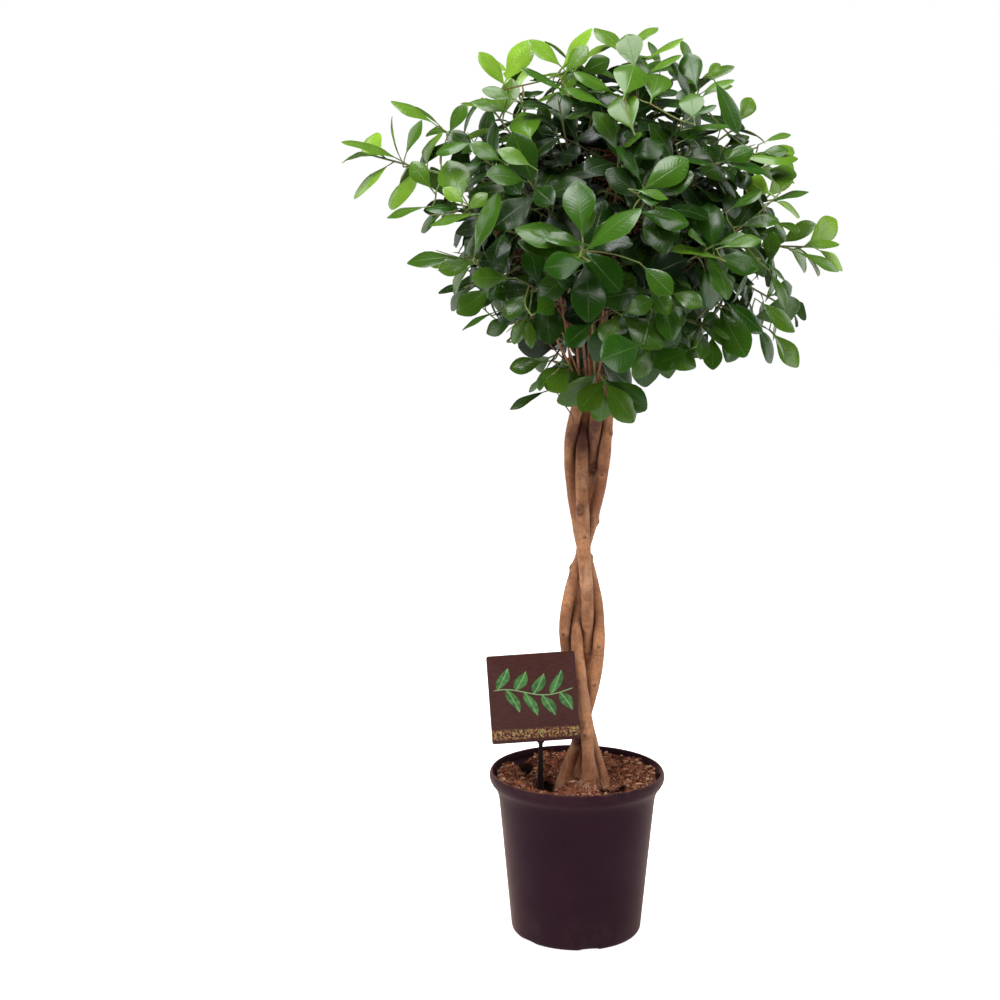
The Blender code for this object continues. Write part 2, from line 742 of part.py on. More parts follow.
def leaf_room(leaf, extra):
    """A boxy skin round the leaf outside its shoot, thicker by an extra on every side."""
    sections = []
    stations = [(PETIOLE * 0.45, PETIOLE_WIDTH / 2), (PETIOLE, PETIOLE_WIDTH / 2)]
    stations += [(PETIOLE + u * leaf["length"], outline(u) * leaf["width"] / 2) for u in STATIONS]
    stations.append((PETIOLE + leaf["length"] + extra, 0.0005))
    for s, half in stations:
        place, out, up = leaf_frame(leaf, s)
        side = out.cross(up) * (half + extra)
        high = place + up * extra
        low = place - up * (BLADE_DEPTH + extra)
        sections.append([high - side, high + side, low + side, low - side])
    return loft(sections)


def leaf_facing(root, along):
    """The way a leaf's upper side turns: along its shoot, out of the crown, to the light and the sky."""
    light = -TO_THE_LIGHT if root.y < LIT_SIDE else TO_THE_LIGHT / 2
    outward = (root - Vector(CROWN_MIDDLE)).normalized()
    return along * (1 - OUTWARD) + outward * OUTWARD + Vector((0, light, TO_THE_SKY))


def try_leaf(root, along, turn, age, size, draws, attempt):
    """One leaf on its shoot; every new attempt strays further and is a little smaller."""
    a, b, c, e = draws
    side = along.orthogonal().normalized()
    other = along.cross(side)
    turn += a * (TURN_STRAY[0] + TURN_STRAY[1] * attempt)
    lean = YOUNGEST_LEAN + (OLDEST_LEAN - YOUNGEST_LEAN) * age**LEAN_POWER
    lean += b * (LEAN_STRAY[0] + LEAN_STRAY[1] * attempt)
    out = along * math.cos(lean) + (side * math.cos(turn) + other * math.sin(turn)) * math.sin(lean)
    out.z -= SAG * age
    out.normalize()
    face = leaf_facing(root, along) + Vector((c, e, a)) * (FACE_STRAY[0] + FACE_STRAY[1] * attempt)
    up = (face - face.project(out)).normalized()
    length = BLADE_LENGTH * size * (1 + LEAF_SPREAD * c) * (1 - SHRINK * attempt)
    width = length * BLADE_WIDTH * (1 + WIDTH_SPREAD * b)
    return dict(root=root, out=out, up=up, curl=CURL + CURL_SPREAD * e, length=length, width=width)


def grow_spray(number, base, along, size, room):
    """A shoot that carries leaves by the golden angle, each tried until it is clear of the rest."""
    draw = random.Random(SEED + number)
    name = f"spray_{number:02d}"
    start = base + along * GAP
    first = draw.uniform(0, 2 * math.pi)
    leaves = []
    for k in range(LEAVES):
        root = start + along * (SHOOT_LENGTH - LEAF_START - k * LEAF_SPACING)
        grown = size * (LEAF_SIZES[k] if k < len(LEAF_SIZES) else 1.0)
        draws = [[draw.uniform(-1, 1) for _ in range(4)] for _ in range(TRIES)]
        for attempt in range(TRIES):
            turn = first + k * GOLDEN_ANGLE
            leaf = try_leaf(root, along, turn, k / (LEAVES - 1), grown, draws[attempt], attempt)
            if room.fits(leaf_room(leaf, ROOM), but=(name + "_shoot",)):
                room.add(leaf_room(leaf, 0.0), name)
                leaves.append(leaf)
                break
    points = [start, start + along * SHOOT_LENGTH]
    return dict(name=name, points=points, radii=SHOOT_RADII, leaves=leaves)


def back_shoots():
    """Tips over the back of the crown, a golden-angle spiral over an oval, kept where y is positive."""
    places = []
    middle = Vector(CROWN_MIDDLE)
    for k in range(BACK_PLACES):
        lift = BACK_LIFT[0] + (BACK_LIFT[1] - BACK_LIFT[0]) * (k + 0.5) / BACK_PLACES
        turn = k * GOLDEN_ANGLE + BACK_TURN
        flat = math.sqrt(1 - lift * lift)
        way = Vector((flat * math.cos(turn), flat * math.sin(turn), lift))
        if way.y > BACK_SIDE:
            tip = middle + Vector([w * r for w, r in zip(way, BACK_REACH)])
            places.append((tuple(tip), tuple(way + Vector((0, 0, BACK_RISE))), 1.0))
    return places[:BACK_COUNT]


def grow_tree():
    """Stems, then branches to every shoot, then shoots with their leaves."""
    room = Room()
    stems = {}
    limbs = []
    for name, stem in STEMS.items():
        trunk, leader, side_limbs = grow_stem(stem)
        pipes = [(points, taper(LIMB_RADII, LIMB_POINTS)) for points in side_limbs]
        stems[name] = dict(trunk=trunk, pipes=pipes)
        room.add(pipe(*trunk, 0.0), name)
        limbs.append((name, leader[1:]))
        for points, radii in pipes:
            room.add(pipe(points, radii, 0.0), name)
            limbs.append((name, points))
    ready = []
    for number, (tip, way, size) in enumerate((*SHOOTS, *back_shoots()), start=1):
        draw = random.Random(SEED * 1000 + number)
        for attempt in range(TRIES):
            nudge = Vector([draw.uniform(-1, 1) for _ in range(3)]) * NUDGE * attempt
            along = (Vector(way).normalized() + nudge).normalized()
            base = Vector(tip) - along * SHOOT_LENGTH
            shoot = pipe([base + along * SHOOT_FOOT, base + along * SHOOT_LENGTH], SHOOT_RADII, ROOM)
            found = grow_branch(limbs, base, along, room) if room.fits(shoot) else None
            if found:
                break
        if found is None:
            raise ValueError(f"no clear way for shoot {number}")
        owner, points, radii = found
        stems[owner]["pipes"].append((points, radii))
        room.add(pipe(points, radii, 0.0), owner)
        shoot = [base + along * GAP, base + along * SHOOT_LENGTH]
        room.add(pipe(shoot, SHOOT_RADII, 0.0), f"spray_{number:02d}_shoot")
        ready.append((number, base, along, size))
    sprays = [grow_spray(*shoot, room) for shoot in ready]
    return stems, sprays


def build_wood(stems, parts, cutters):
    bark = material("bark", (0.30, 0.17, 0.10), 0.8)
    for name, stem in stems.items():
        pieces = [tube(name + "_trunk", *stem["trunk"], 2, cutters)]
        for k, (points, radii) in enumerate(stem["pipes"]):
            thick = radii[0] > BRANCH_RADII[0]
            pieces.append(tube(f"{name}_{k}", points, radii, 1 if thick else 0, cutters))
        pieces = [as_mesh(piece, cutters) for piece in pieces]
        others = child_collection(name + "_parts", cutters)
        for piece in pieces[1:]:
            as_cutter(piece, others)
        pieces[0].name = name
        made = joined(pieces[0], others, bark, parts)
        smooth_shade(made.data)


def build_sprays(sprays, parts, cutters):
    leaf_green = material("leaf", (0.045, 0.13, 0.03), 0.4)
    for spray in sprays:
        curve = tube(spray["name"] + "_shoot", spray["points"], spray["radii"], 0, cutters)
        shoot = as_mesh(curve, cutters)
        others = child_collection(spray["name"] + "_leaves", cutters)
        for k, leaf in enumerate(spray["leaves"]):
            new_object(f"{spray['name']}_leaf_{k}", mesh_of("leaf", *leaf_skin(leaf)), others)
        shoot.name = spray["name"]
        joined(shoot, others, leaf_green, parts)


def main():
    clear_scene()
    parts = new_collection("potted_braided_ficus")
    cutters = new_collection("cutters", hidden=True)
    stems, sprays = grow_tree()
    build_wood(stems, parts, cutters)
    build_sprays(sprays, parts, cutters)
    build_card(parts, cutters)
    build_stake(parts, cutters)
    build_pot(parts, cutters)
    build_soil(parts, cutters, stems)


main()
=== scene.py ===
"""A braided ficus in a plastic nursery pot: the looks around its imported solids.

Metres, in the solids' own frame: +Z up, the front is -Y. The growth of the crown repeats the rule
and the values of the part's source, so that each fine leaf lies on its solid one.
"""

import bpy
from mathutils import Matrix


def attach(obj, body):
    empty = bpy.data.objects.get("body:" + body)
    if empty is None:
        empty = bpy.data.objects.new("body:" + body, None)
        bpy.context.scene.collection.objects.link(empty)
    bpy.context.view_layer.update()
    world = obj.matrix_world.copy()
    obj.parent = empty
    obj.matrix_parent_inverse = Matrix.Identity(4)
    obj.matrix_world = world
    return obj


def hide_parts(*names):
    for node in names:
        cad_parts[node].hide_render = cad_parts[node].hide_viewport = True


bl_info = {
    "name": "Potted braided ficus",
    "version": (1, 0, 0),
    "blender": (4, 5, 0),
    "location": "View3D > Sidebar > Ficus",
    "description": "Builds the leaves, wood, soil, pot, tag and studio of a braided ficus",
    "category": "Object",
}

import math
import random

import bpy
import numpy as np
from bpy.props import FloatProperty, FloatVectorProperty, IntProperty, PointerProperty
from mathutils import Vector
from mathutils.bvhtree import BVHTree

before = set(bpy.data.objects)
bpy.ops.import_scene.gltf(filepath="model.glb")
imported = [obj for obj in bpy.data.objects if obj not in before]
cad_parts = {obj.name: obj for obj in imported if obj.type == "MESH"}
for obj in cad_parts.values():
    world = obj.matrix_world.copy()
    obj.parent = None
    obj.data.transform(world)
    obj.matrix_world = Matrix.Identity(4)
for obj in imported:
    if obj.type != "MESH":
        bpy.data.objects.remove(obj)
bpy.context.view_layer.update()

# Clearance between pieces that touch
GAP = 0.0003

# Pot: a tapered wall, a convex collar that flares to the lip, and a foot with drain notches
POT_HEIGHT = 0.215
POT_WALL = 0.0018
POT_FLOOR = 0.0068
CORNER_ROUNDING = 0.004
FOOT_RADIUS = 0.0763
FOOT_ROUNDING = 0.0090
WALL_RADIUS_AT_FOOT = 0.0846
WALL_SLOPE = 0.095
COLLAR_START = 0.160
LIP_HEIGHT = 0.2018
COLLAR_FLARE = 0.0104
RIM_RADIUS = 0.1112
RIM_WIDTH = 0.0020
NOTCH_COUNT = 6
NOTCH_WIDTH = 0.026
NOTCH_HEIGHT = 0.004
NOTCH_DEPTH = 0.026
NOTCH_TURN = math.radians(-80)
DRAIN_RADIUS = 0.0045
DRAIN_CIRCLE = 0.060

# Soil
SOIL_HEIGHT = 0.197
SOIL_BUMP = 0.0018
SOIL_MOUND = 0.003
MOUND_REACH = 0.040
SOIL_EDGE = 0.003

# Braid: the stems' places follow an angle that grows from the heads down to the soil
PITCH_ACROSS = 0.0147
PITCH_DEEP = 0.0165
BRAID_HEIGHTS = (0.150, 0.291, 0.402, 0.504, 0.645, 0.760)
BRAID_ANGLES = (360, 270, 180, 90, 0, -90)
AXIS_HEIGHTS = (0.20, 0.291, 0.402, 0.504, 0.645, 0.700, 0.760)
AXIS_DRIFT = (0.008, 0.010, 0.005, 0.006, 0.011, 0.018, 0.022)
STEM_FOOT = 0.135
STEM_HEAD = 0.715
STEM_POINTS = 16
STEM_RADIUS = 0.0070
STEM_SWELL = 0.0005
FLARE_HEIGHT = 0.060
FLARE_SPREAD = 0.35

# Each stem: how far it swings across and deep in pitches, extra swell where it passes in front,
# flare at the soil, where its leader ends, and the side limbs as (place along the leader, end)
STEMS = {
    "stem_1": dict(
        across=-1.5, deep=0.5, swell=0.0, flare=0.25, leader=(-0.115, -0.015, 0.925),
        limbs=((0.22, (-0.060, -0.100, 0.875)), (0.40, (-0.085, 0.085, 0.960))),
    ),
    "stem_2": dict(
        across=-0.5, deep=-1.5, swell=0.0009, flare=0.25, leader=(-0.010, 0.095, 0.985),
        limbs=((0.25, (0.060, 0.140, 0.880)), (0.15, (-0.075, 0.120, 0.865))),
    ),
    "stem_3": dict(
        across=0.5, deep=1.5, swell=0.0, flare=0.75, leader=(0.040, -0.055, 1.015),
        limbs=((0.18, (0.035, -0.135, 0.870)), (0.42, (0.085, -0.120, 0.955))),
    ),
    "stem_4": dict(
        across=1.5, deep=-0.5, swell=0.0, flare=0.25, leader=(0.155, 0.010, 0.920),
        limbs=((0.20, (0.135, -0.080, 0.840)), (0.42, (0.115, 0.080, 0.975))),
    ),
}
LEADER_RADII = (0.0066, 0.0026)
LIMB_RADII = (0.0036, 0.0023)
BRANCH_RADII = (0.0023, 0.0020)
LEADER_POINTS = 5
LIMB_POINTS = 5
BRANCH_POINTS = 3
LEADER_PULL = 0.8
LIMB_PULL = 0.7
BRANCH_PULL = 0.6
ALONG_THE_LIMB = 0.5
BRANCH_STUB = 0.010
SHORTEST_BRANCH = 0.025
LEAN_COST = 0.35
TURN_COST = 0.25
NEAREST = 40

# Leafy shoots that shape the outline and the front: place of the tip, the way it points, leaf size
SHOOTS = (
    ((-0.007, -0.215, 0.893), (-0.1, -1.0, 0.50), 1.15),
    ((0.068, -0.205, 0.950), (0.2, -1.0, 0.55), 1.05),
    ((0.143, -0.175, 0.890), (0.45, -0.9, 0.35), 1.00),
    ((0.036, -0.175, 0.998), (0.0, -0.8, 0.7), 1.00),
    ((-0.066, -0.185, 0.962), (-0.35, -0.9, 0.45), 1.05),
    ((0.092, -0.185, 0.838), (0.35, -1.0, 0.0), 1.00),
    ((0.040, -0.185, 0.812), (0.1, -1.0, -0.05), 1.00),
    ((-0.062, -0.155, 0.838), (-0.5, -0.9, 0.0), 0.95),
    ((-0.108, -0.145, 0.912), (-0.7, -0.7, 0.2), 1.00),
    ((0.119, -0.140, 0.999), (0.4, -0.6, 0.7), 1.00),
    ((0.078, -0.140, 0.776), (0.3, -0.8, -0.35), 1.05),
    ((0.142, -0.115, 0.795), (0.6, -0.7, -0.2), 0.95),
    ((0.200, -0.110, 0.902), (0.8, -0.5, 0.2), 0.95),
    ((0.060, -0.125, 1.062), (0.1, -0.5, 0.9), 1.00),
    ((-0.031, -0.125, 1.052), (-0.2, -0.5, 0.9), 0.95),
    ((0.134, -0.085, 1.058), (0.5, -0.3, 0.85), 1.05),
    ((-0.123, -0.110, 0.993), (-0.7, -0.5, 0.5), 0.90),
    ((-0.110, -0.055, 1.052), (-0.6, -0.2, 0.8), 0.90),
    ((-0.084, 0.010, 1.092), (-0.35, -0.1, 1.0), 1.00),
    ((-0.013, 0.000, 1.106), (-0.1, -0.1, 1.0), 1.05),
    ((0.056, -0.030, 1.120), (0.0, -0.1, 1.0), 1.05),
    ((0.138, 0.000, 1.090), (0.35, 0.0, 0.9), 1.00),
    ((0.102, 0.050, 1.090), (0.2, 0.3, 1.0), 0.95),
    ((0.020, 0.075, 1.090), (0.0, 0.4, 1.0), 0.95),
    ((0.196, 0.030, 1.034), (0.8, 0.1, 0.6), 0.95),
    ((0.228, -0.030, 0.985), (0.95, -0.2, 0.3), 0.90),
    ((0.242, 0.035, 0.943), (1.0, 0.1, 0.15), 1.00),
    ((0.284, -0.030, 0.886), (1.0, -0.1, -0.02), 1.00),
    ((0.268, 0.045, 0.806), (0.9, 0.1, -0.50), 0.85),
    ((0.222, -0.045, 0.790), (0.8, -0.3, -0.40), 1.05),
    ((0.100, -0.070, 0.772), (0.3, -0.3, -0.85), 0.90),
    ((0.028, -0.055, 0.718), (0.1, -0.3, -1.0), 1.12),
    ((-0.038, -0.045, 0.746), (-0.6, -0.2, -0.8), 0.90),
    ((-0.076, -0.045, 0.800), (-0.8, -0.3, -0.55), 0.90),
    ((-0.140, -0.060, 0.866), (-0.95, -0.3, -0.15), 1.00),
    ((-0.140, 0.035, 0.836), (-0.9, 0.2, -0.35), 0.85),
    ((-0.168, 0.000, 0.930), (-1.0, 0.0, 0.05), 0.85),
    ((-0.250, -0.020, 0.995), (-1.0, -0.05, 0.26), 1.15),
    ((-0.172, 0.030, 1.030), (-0.85, 0.1, 0.5), 0.90),
    ((-0.150, 0.045, 0.978), (-0.9, 0.4, 0.25), 0.90),
)

# Shoots at the back, spread evenly over an oval by the golden angle
CROWN_MIDDLE = (0.026, 0.010, 0.925)
BACK_REACH = (0.205, 0.195, 0.175)
BACK_COUNT = 11
BACK_LIFT = (-0.88, 0.86)
BACK_PLACES = 26
BACK_TURN = 0.6
BACK_SIDE = 0.22
BACK_RISE = 0.15

SHOOT_LENGTH = 0.085
SHOOT_RADII = (0.0020, 0.0016)
LEAVES = 7
LEAF_START = 0.0020
LEAF_SPACING = 0.0105
GOLDEN_ANGLE = math.radians(137.5)
YOUNGEST_LEAN = math.radians(26)
OLDEST_LEAN = math.radians(70)
LEAN_POWER = 0.8
SAG = 0.18
TO_THE_LIGHT = 0.38
TO_THE_SKY = 0.70
OUTWARD = 0.30
LIT_SIDE = 0.06

# How far a leaf strays at the first attempt, and how much further at each later one
TURN_STRAY = (0.15, 0.10)
LEAN_STRAY = (0.12, 0.05)
FACE_STRAY = (0.34, 0.03)
SHRINK = 0.018

# Leaf: a petiole and an obovate blade that curls down towards its tip
PETIOLE = 0.010
BLADE_LENGTH = 0.056
BLADE_WIDTH = 0.59
BLADE_DEPTH = 0.0014
PETIOLE_WIDTH = 0.0022
WIDEST = 0.60
OUTLINE_POWER = 0.80
STATIONS = (0.42, 0.80)
LEAF_SIZES = (0.74, 0.90)
LEAF_SPREAD = 0.16
WIDTH_SPREAD = 0.08
CURL = 0.75
CURL_SPREAD = 0.35

# Room kept round what grows, for other nodes
ROOM = 0.0010
TRIES = 16
NUDGE = 0.06
SHOOT_FOOT = 0.004
SEED = 41

# Plant tag: a card in the slot of a tapered stake
CARD_WIDTH = 0.112
CARD_HEIGHT = 0.115
CARD_THICKNESS = 0.0008
CARD_MIDDLE = (-0.0575, -0.040, 0.3210)
CARD_TURN = math.radians(-4)
STAKE_X = -0.048
STAKE_FOOT = 0.120
STAKE_WIDTHS = (0.004, 0.009, 0.005)
STAKE_THICKNESS = 0.0024
HEAD_WIDTH = 0.012
HEAD_THICKNESS = 0.0044
HEAD_HEIGHT = 0.016
CARD_BITE = 0.009


# Growth, as in the part's source


def stake_width(z):
    """Width of the stake at a height, straight between its given widths."""
    levels = (STAKE_FOOT, SOIL_HEIGHT, CARD_MIDDLE[2] - CARD_HEIGHT / 2)
    return float(np.interp(z, levels, STAKE_WIDTHS))


def braid_turn(z):
    """Angle of the braid at a height, straight between its given angles."""
    return math.radians(float(np.interp(z, BRAID_HEIGHTS, BRAID_ANGLES)))


def foot_share(z):
    """1 at the soil, falling to 0 above and below it."""
    return max(0.0, 1 - abs(z - SOIL_HEIGHT) / FLARE_HEIGHT)


def stem_place(stem, z):
    """Where a stem's middle is at a height: the braid angle swings it across and deep."""
    spread = 1 + FLARE_SPREAD * foot_share(z)
    x = stem["across"] * PITCH_ACROSS * math.cos(braid_turn(z)) * spread
    y = stem["deep"] * PITCH_DEEP * math.sin(braid_turn(z)) * spread
    return Vector((x + float(np.interp(z, AXIS_HEIGHTS, AXIS_DRIFT)), y, z))


def stem_radius(stem, z):
    """Thicker at the waists, more so where the stem passes in front, and flared at the soil."""
    front = max(0.0, -math.copysign(1.0, stem["deep"]) * math.sin(braid_turn(z)))
    swell = STEM_SWELL * math.sin(braid_turn(z)) ** 2 + stem["swell"] * front**2
    return (STEM_RADIUS + swell) * (1 + stem["flare"] * foot_share(z) ** 2)


def hermite(start, start_pull, end, end_pull, count):
    """Points of a cubic that leaves the start and reaches the end along the two pulls."""
    points = []
    for t in np.linspace(0.0, 1.0, count):
        t = float(t)
        a = 2 * t**3 - 3 * t**2 + 1
        b = t**3 - 2 * t**2 + t
        c = -2 * t**3 + 3 * t**2
        d = t**3 - t**2
        points.append(a * start + b * start_pull + c * end + d * end_pull)
    return points


def taper(radii, count):
    """Radii in even steps from the first to the last."""
    return [float(r) for r in np.linspace(radii[0], radii[1], count)]


def grow_stem(stem):
    """The stem's own path with its leader, and its side limbs, each as points and radii."""
    heights = [float(z) for z in np.linspace(STEM_FOOT, STEM_HEAD, STEM_POINTS)]
    trunk = [stem_place(stem, z) for z in heights]
    radii = [stem_radius(stem, z) for z in heights]
    pull = (trunk[-1] - trunk[-2]).normalized() * LEADER_PULL
    end = Vector(stem["leader"])
    reach = (end - trunk[-1]).length
    leader = hermite(trunk[-1], pull * reach, end, (end - trunk[-1]) * LIMB_PULL, LEADER_POINTS)
    limbs = []
    for share, place in stem["limbs"]:
        at = share * (LEADER_POINTS - 1)
        low = int(at)
        start = leader[low].lerp(leader[low + 1], at - low)
        along = (leader[low + 1] - leader[low]).normalized()
        tip = Vector(place)
        reach = (tip - start).length
        pull = along * reach * LIMB_PULL
        limbs.append(hermite(start, pull, tip, (tip - start) * LIMB_PULL, LIMB_POINTS))
    trunk_points = trunk + leader[1:]
    trunk_radii = radii + taper(LEADER_RADII, LEADER_POINTS)[1:]
    return (trunk_points, trunk_radii), leader, limbs


class Room:
    """What already stands in the crown, each with an owner, to test that a new thing is clear of it."""

    def __init__(self):
        self.lows = []
        self.highs = []
        self.trees = []
        self.owners = []

    def add(self, skin, owner):
        low, high, tree = self.measured(skin)
        self.lows.append(low)
        self.highs.append(high)
        self.trees.append(tree())
        self.owners.append(owner)

    def fits(self, skin, but=()):
        low, high, tree = self.measured(skin)
        near = np.all((np.array(self.lows) < high) & (np.array(self.highs) > low), axis=1)
        near = [k for k in np.flatnonzero(near) if self.owners[k] not in but]
        own = tree() if near else None
        return not any(own.overlap(self.trees[k]) for k in near)

    def measured(self, skin):
        """The corners of a skin's box and a call that builds its tree."""
        places = [tuple(point) for point in skin[0]]
        return np.min(places, axis=0), np.max(places, axis=0), lambda: BVHTree.FromPolygons(places, skin[1])


def loft(sections, tip=None):
    """Points and faces of a closed skin over rings of equal count, ending in a cap or at a tip."""
    count = len(sections[0])
    points = [p for ring in sections for p in ring]
    faces = [tuple(reversed(range(count)))]
    for k in range(len(sections) - 1):
        for i in range(count):
            j = (i + 1) % count
            faces.append((k * count + i, k * count + j, (k + 1) * count + j, (k + 1) * count + i))
    last = (len(sections) - 1) * count
    if tip is None:
        faces.append(tuple(range(last, last + count)))
    else:
        points.append(tip)
        faces += [(last + i, last + (i + 1) % count, len(points) - 1) for i in range(count)]
    return points, faces


def pipe(points, radii, extra, sides=12):
    """The skin of a tapered pipe, thicker by an extra, for tests of room."""
    sections = []
    for k, point in enumerate(points):
        ahead = points[min(k + 1, len(points) - 1)] - points[max(k - 1, 0)]
        side = ahead.orthogonal().normalized() if k == 0 else (side - side.project(ahead)).normalized()
        other = ahead.cross(side).normalized()
        ring = [2 * math.pi * i / sides for i in range(sides)]
        reach = radii[k] + extra
        sections.append([point + reach * (math.cos(a) * side + math.sin(a) * other) for a in ring])
    return loft(sections)


def places_on(carriers, shares):
    """Owner, place and direction at shares of the way between every two points of the carriers."""
    for owner, points in carriers:
        for low, high in zip(points, points[1:]):
            for share in shares:
                yield owner, low.lerp(high, share), (high - low).normalized()


def grow_branch(limbs, base, along, room):
    """The nearest place on a limb from which a branch reaches the shoot's base clear of other stems."""
    foot = base - along * BRANCH_STUB
    choices = []
    for owner, start, ahead in places_on(limbs, BRANCH_SHARES):
        way = foot - start
        if way.length >= SHORTEST_BRANCH:
            lean = ahead.dot(way.normalized())
            turn = along.dot(way.normalized())
            cost = way.length * (1 + LEAN_COST * (1 - lean)) * (1 + TURN_COST * (1 - turn))
            choices.append((cost, owner, start, ahead))
    choices.sort(key=lambda choice: choice[0])
    for _, owner, start, ahead in choices[:NEAREST]:
        pull = (foot - start).length * BRANCH_PULL
        lift = (ahead * ALONG_THE_LIMB + (foot - start).normalized()) * pull
        points = hermite(start, lift, foot, along * pull, BRANCH_POINTS) + [base]
        radii = taper(BRANCH_RADII, BRANCH_POINTS) + [BRANCH_RADII[1]]
        if room.fits(pipe(points, radii, ROOM), but=(owner,)):
            return owner, points, radii
    return None


def outline(u):
    """Half width of the blade as a share of the widest: a sine that rises slowly and ends blunt."""
    power = math.log(0.5) / math.log(WIDEST)
    return math.sin(math.pi * u**power) ** OUTLINE_POWER if 0 < u < 1 else 0.0


def leaf_frame(leaf, s):
    """Place, forward and upper directions at a length along the leaf, which bends as an arc."""
    total = PETIOLE + leaf["length"]
    bend = leaf["curl"] * s / total
    radius = total / leaf["curl"]
    place = leaf["root"] + radius * (math.sin(bend) * leaf["out"] - (1 - math.cos(bend)) * leaf["up"])
    out = math.cos(bend) * leaf["out"] - math.sin(bend) * leaf["up"]
    up = math.cos(bend) * leaf["up"] + math.sin(bend) * leaf["out"]
    return place, out, up


def leaf_room(leaf, extra):
    """A boxy skin round the leaf outside its shoot, thicker by an extra on every side."""
    sections = []
    stations = [(PETIOLE * 0.45, PETIOLE_WIDTH / 2), (PETIOLE, PETIOLE_WIDTH / 2)]
    stations += [(PETIOLE + u * leaf["length"], outline(u) * leaf["width"] / 2) for u in STATIONS]
    stations.append((PETIOLE + leaf["length"] + extra, 0.0005))
    for s, half in stations:
        place, out, up = leaf_frame(leaf, s)
        side = out.cross(up) * (half + extra)
        high = place + up * extra
        low = place - up * (BLADE_DEPTH + extra)
        sections.append([high - side, high + side, low + side, low - side])
    return loft(sections)


def leaf_facing(root, along):
    """The way a leaf's upper side turns: along its shoot, out of the crown, to the light and the sky."""
    light = -TO_THE_LIGHT if root.y < LIT_SIDE else TO_THE_LIGHT / 2
    outward = (root - Vector(CROWN_MIDDLE)).normalized()
    return along * (1 - OUTWARD) + outward * OUTWARD + Vector((0, light, TO_THE_SKY))


def try_leaf(root, along, turn, age, size, draws, attempt):
    """One leaf on its shoot; every new attempt strays further and is a little smaller."""
    a, b, c, e = draws
    side = along.orthogonal().normalized()
    other = along.cross(side)
    turn += a * (TURN_STRAY[0] + TURN_STRAY[1] * attempt)
    lean = YOUNGEST_LEAN + (OLDEST_LEAN - YOUNGEST_LEAN) * age**LEAN_POWER
    lean += b * (LEAN_STRAY[0] + LEAN_STRAY[1] * attempt)
    out = along * math.cos(lean) + (side * math.cos(turn) + other * math.sin(turn)) * math.sin(lean)
    out.z -= SAG * age
    out.normalize()
    face = leaf_facing(root, along) + Vector((c, e, a)) * (FACE_STRAY[0] + FACE_STRAY[1] * attempt)
    up = (face - face.project(out)).normalized()
    length = BLADE_LENGTH * size * (1 + LEAF_SPREAD * c) * (1 - SHRINK * attempt)
    width = length * BLADE_WIDTH * (1 + WIDTH_SPREAD * b)
    return dict(root=root, out=out, up=up, curl=CURL + CURL_SPREAD * e, length=length, width=width)


def grow_spray(number, base, along, size, room):
    """A shoot that carries leaves by the golden angle, each tried until it is clear of the rest."""
    draw = random.Random(SEED + number)
    name = f"spray_{number:02d}"
    start = base + along * GAP
    first = draw.uniform(0, 2 * math.pi)
    leaves = []
    for k in range(LEAVES):
        root = start + along * (SHOOT_LENGTH - LEAF_START - k * LEAF_SPACING)
        grown = size * (LEAF_SIZES[k] if k < len(LEAF_SIZES) else 1.0)
        draws = [[draw.uniform(-1, 1) for _ in range(4)] for _ in range(TRIES)]
        for attempt in range(TRIES):
            turn = first + k * GOLDEN_ANGLE
            leaf = try_leaf(root, along, turn, k / (LEAVES - 1), grown, draws[attempt], attempt)
            if room.fits(leaf_room(leaf, ROOM), but=(name + "_shoot",)):
                room.add(leaf_room(leaf, 0.0), name)
                leaves.append(leaf)
                break
    points = [start, start + along * SHOOT_LENGTH]
    return dict(name=name, points=points, radii=SHOOT_RADII, leaves=leaves)


def back_shoots():
    """Tips over the back of the crown, a golden-angle spiral over an oval, kept where y is positive."""
    places = []
    middle = Vector(CROWN_MIDDLE)
    for k in range(BACK_PLACES):
        lift = BACK_LIFT[0] + (BACK_LIFT[1] - BACK_LIFT[0]) * (k + 0.5) / BACK_PLACES
        turn = k * GOLDEN_ANGLE + BACK_TURN
        flat = math.sqrt(1 - lift * lift)
        way = Vector((flat * math.cos(turn), flat * math.sin(turn), lift))
        if way.y > BACK_SIDE:
            tip = middle + Vector([w * r for w, r in zip(way, BACK_REACH)])
            places.append((tuple(tip), tuple(way + Vector((0, 0, BACK_RISE))), 1.0))
    return places[:BACK_COUNT]


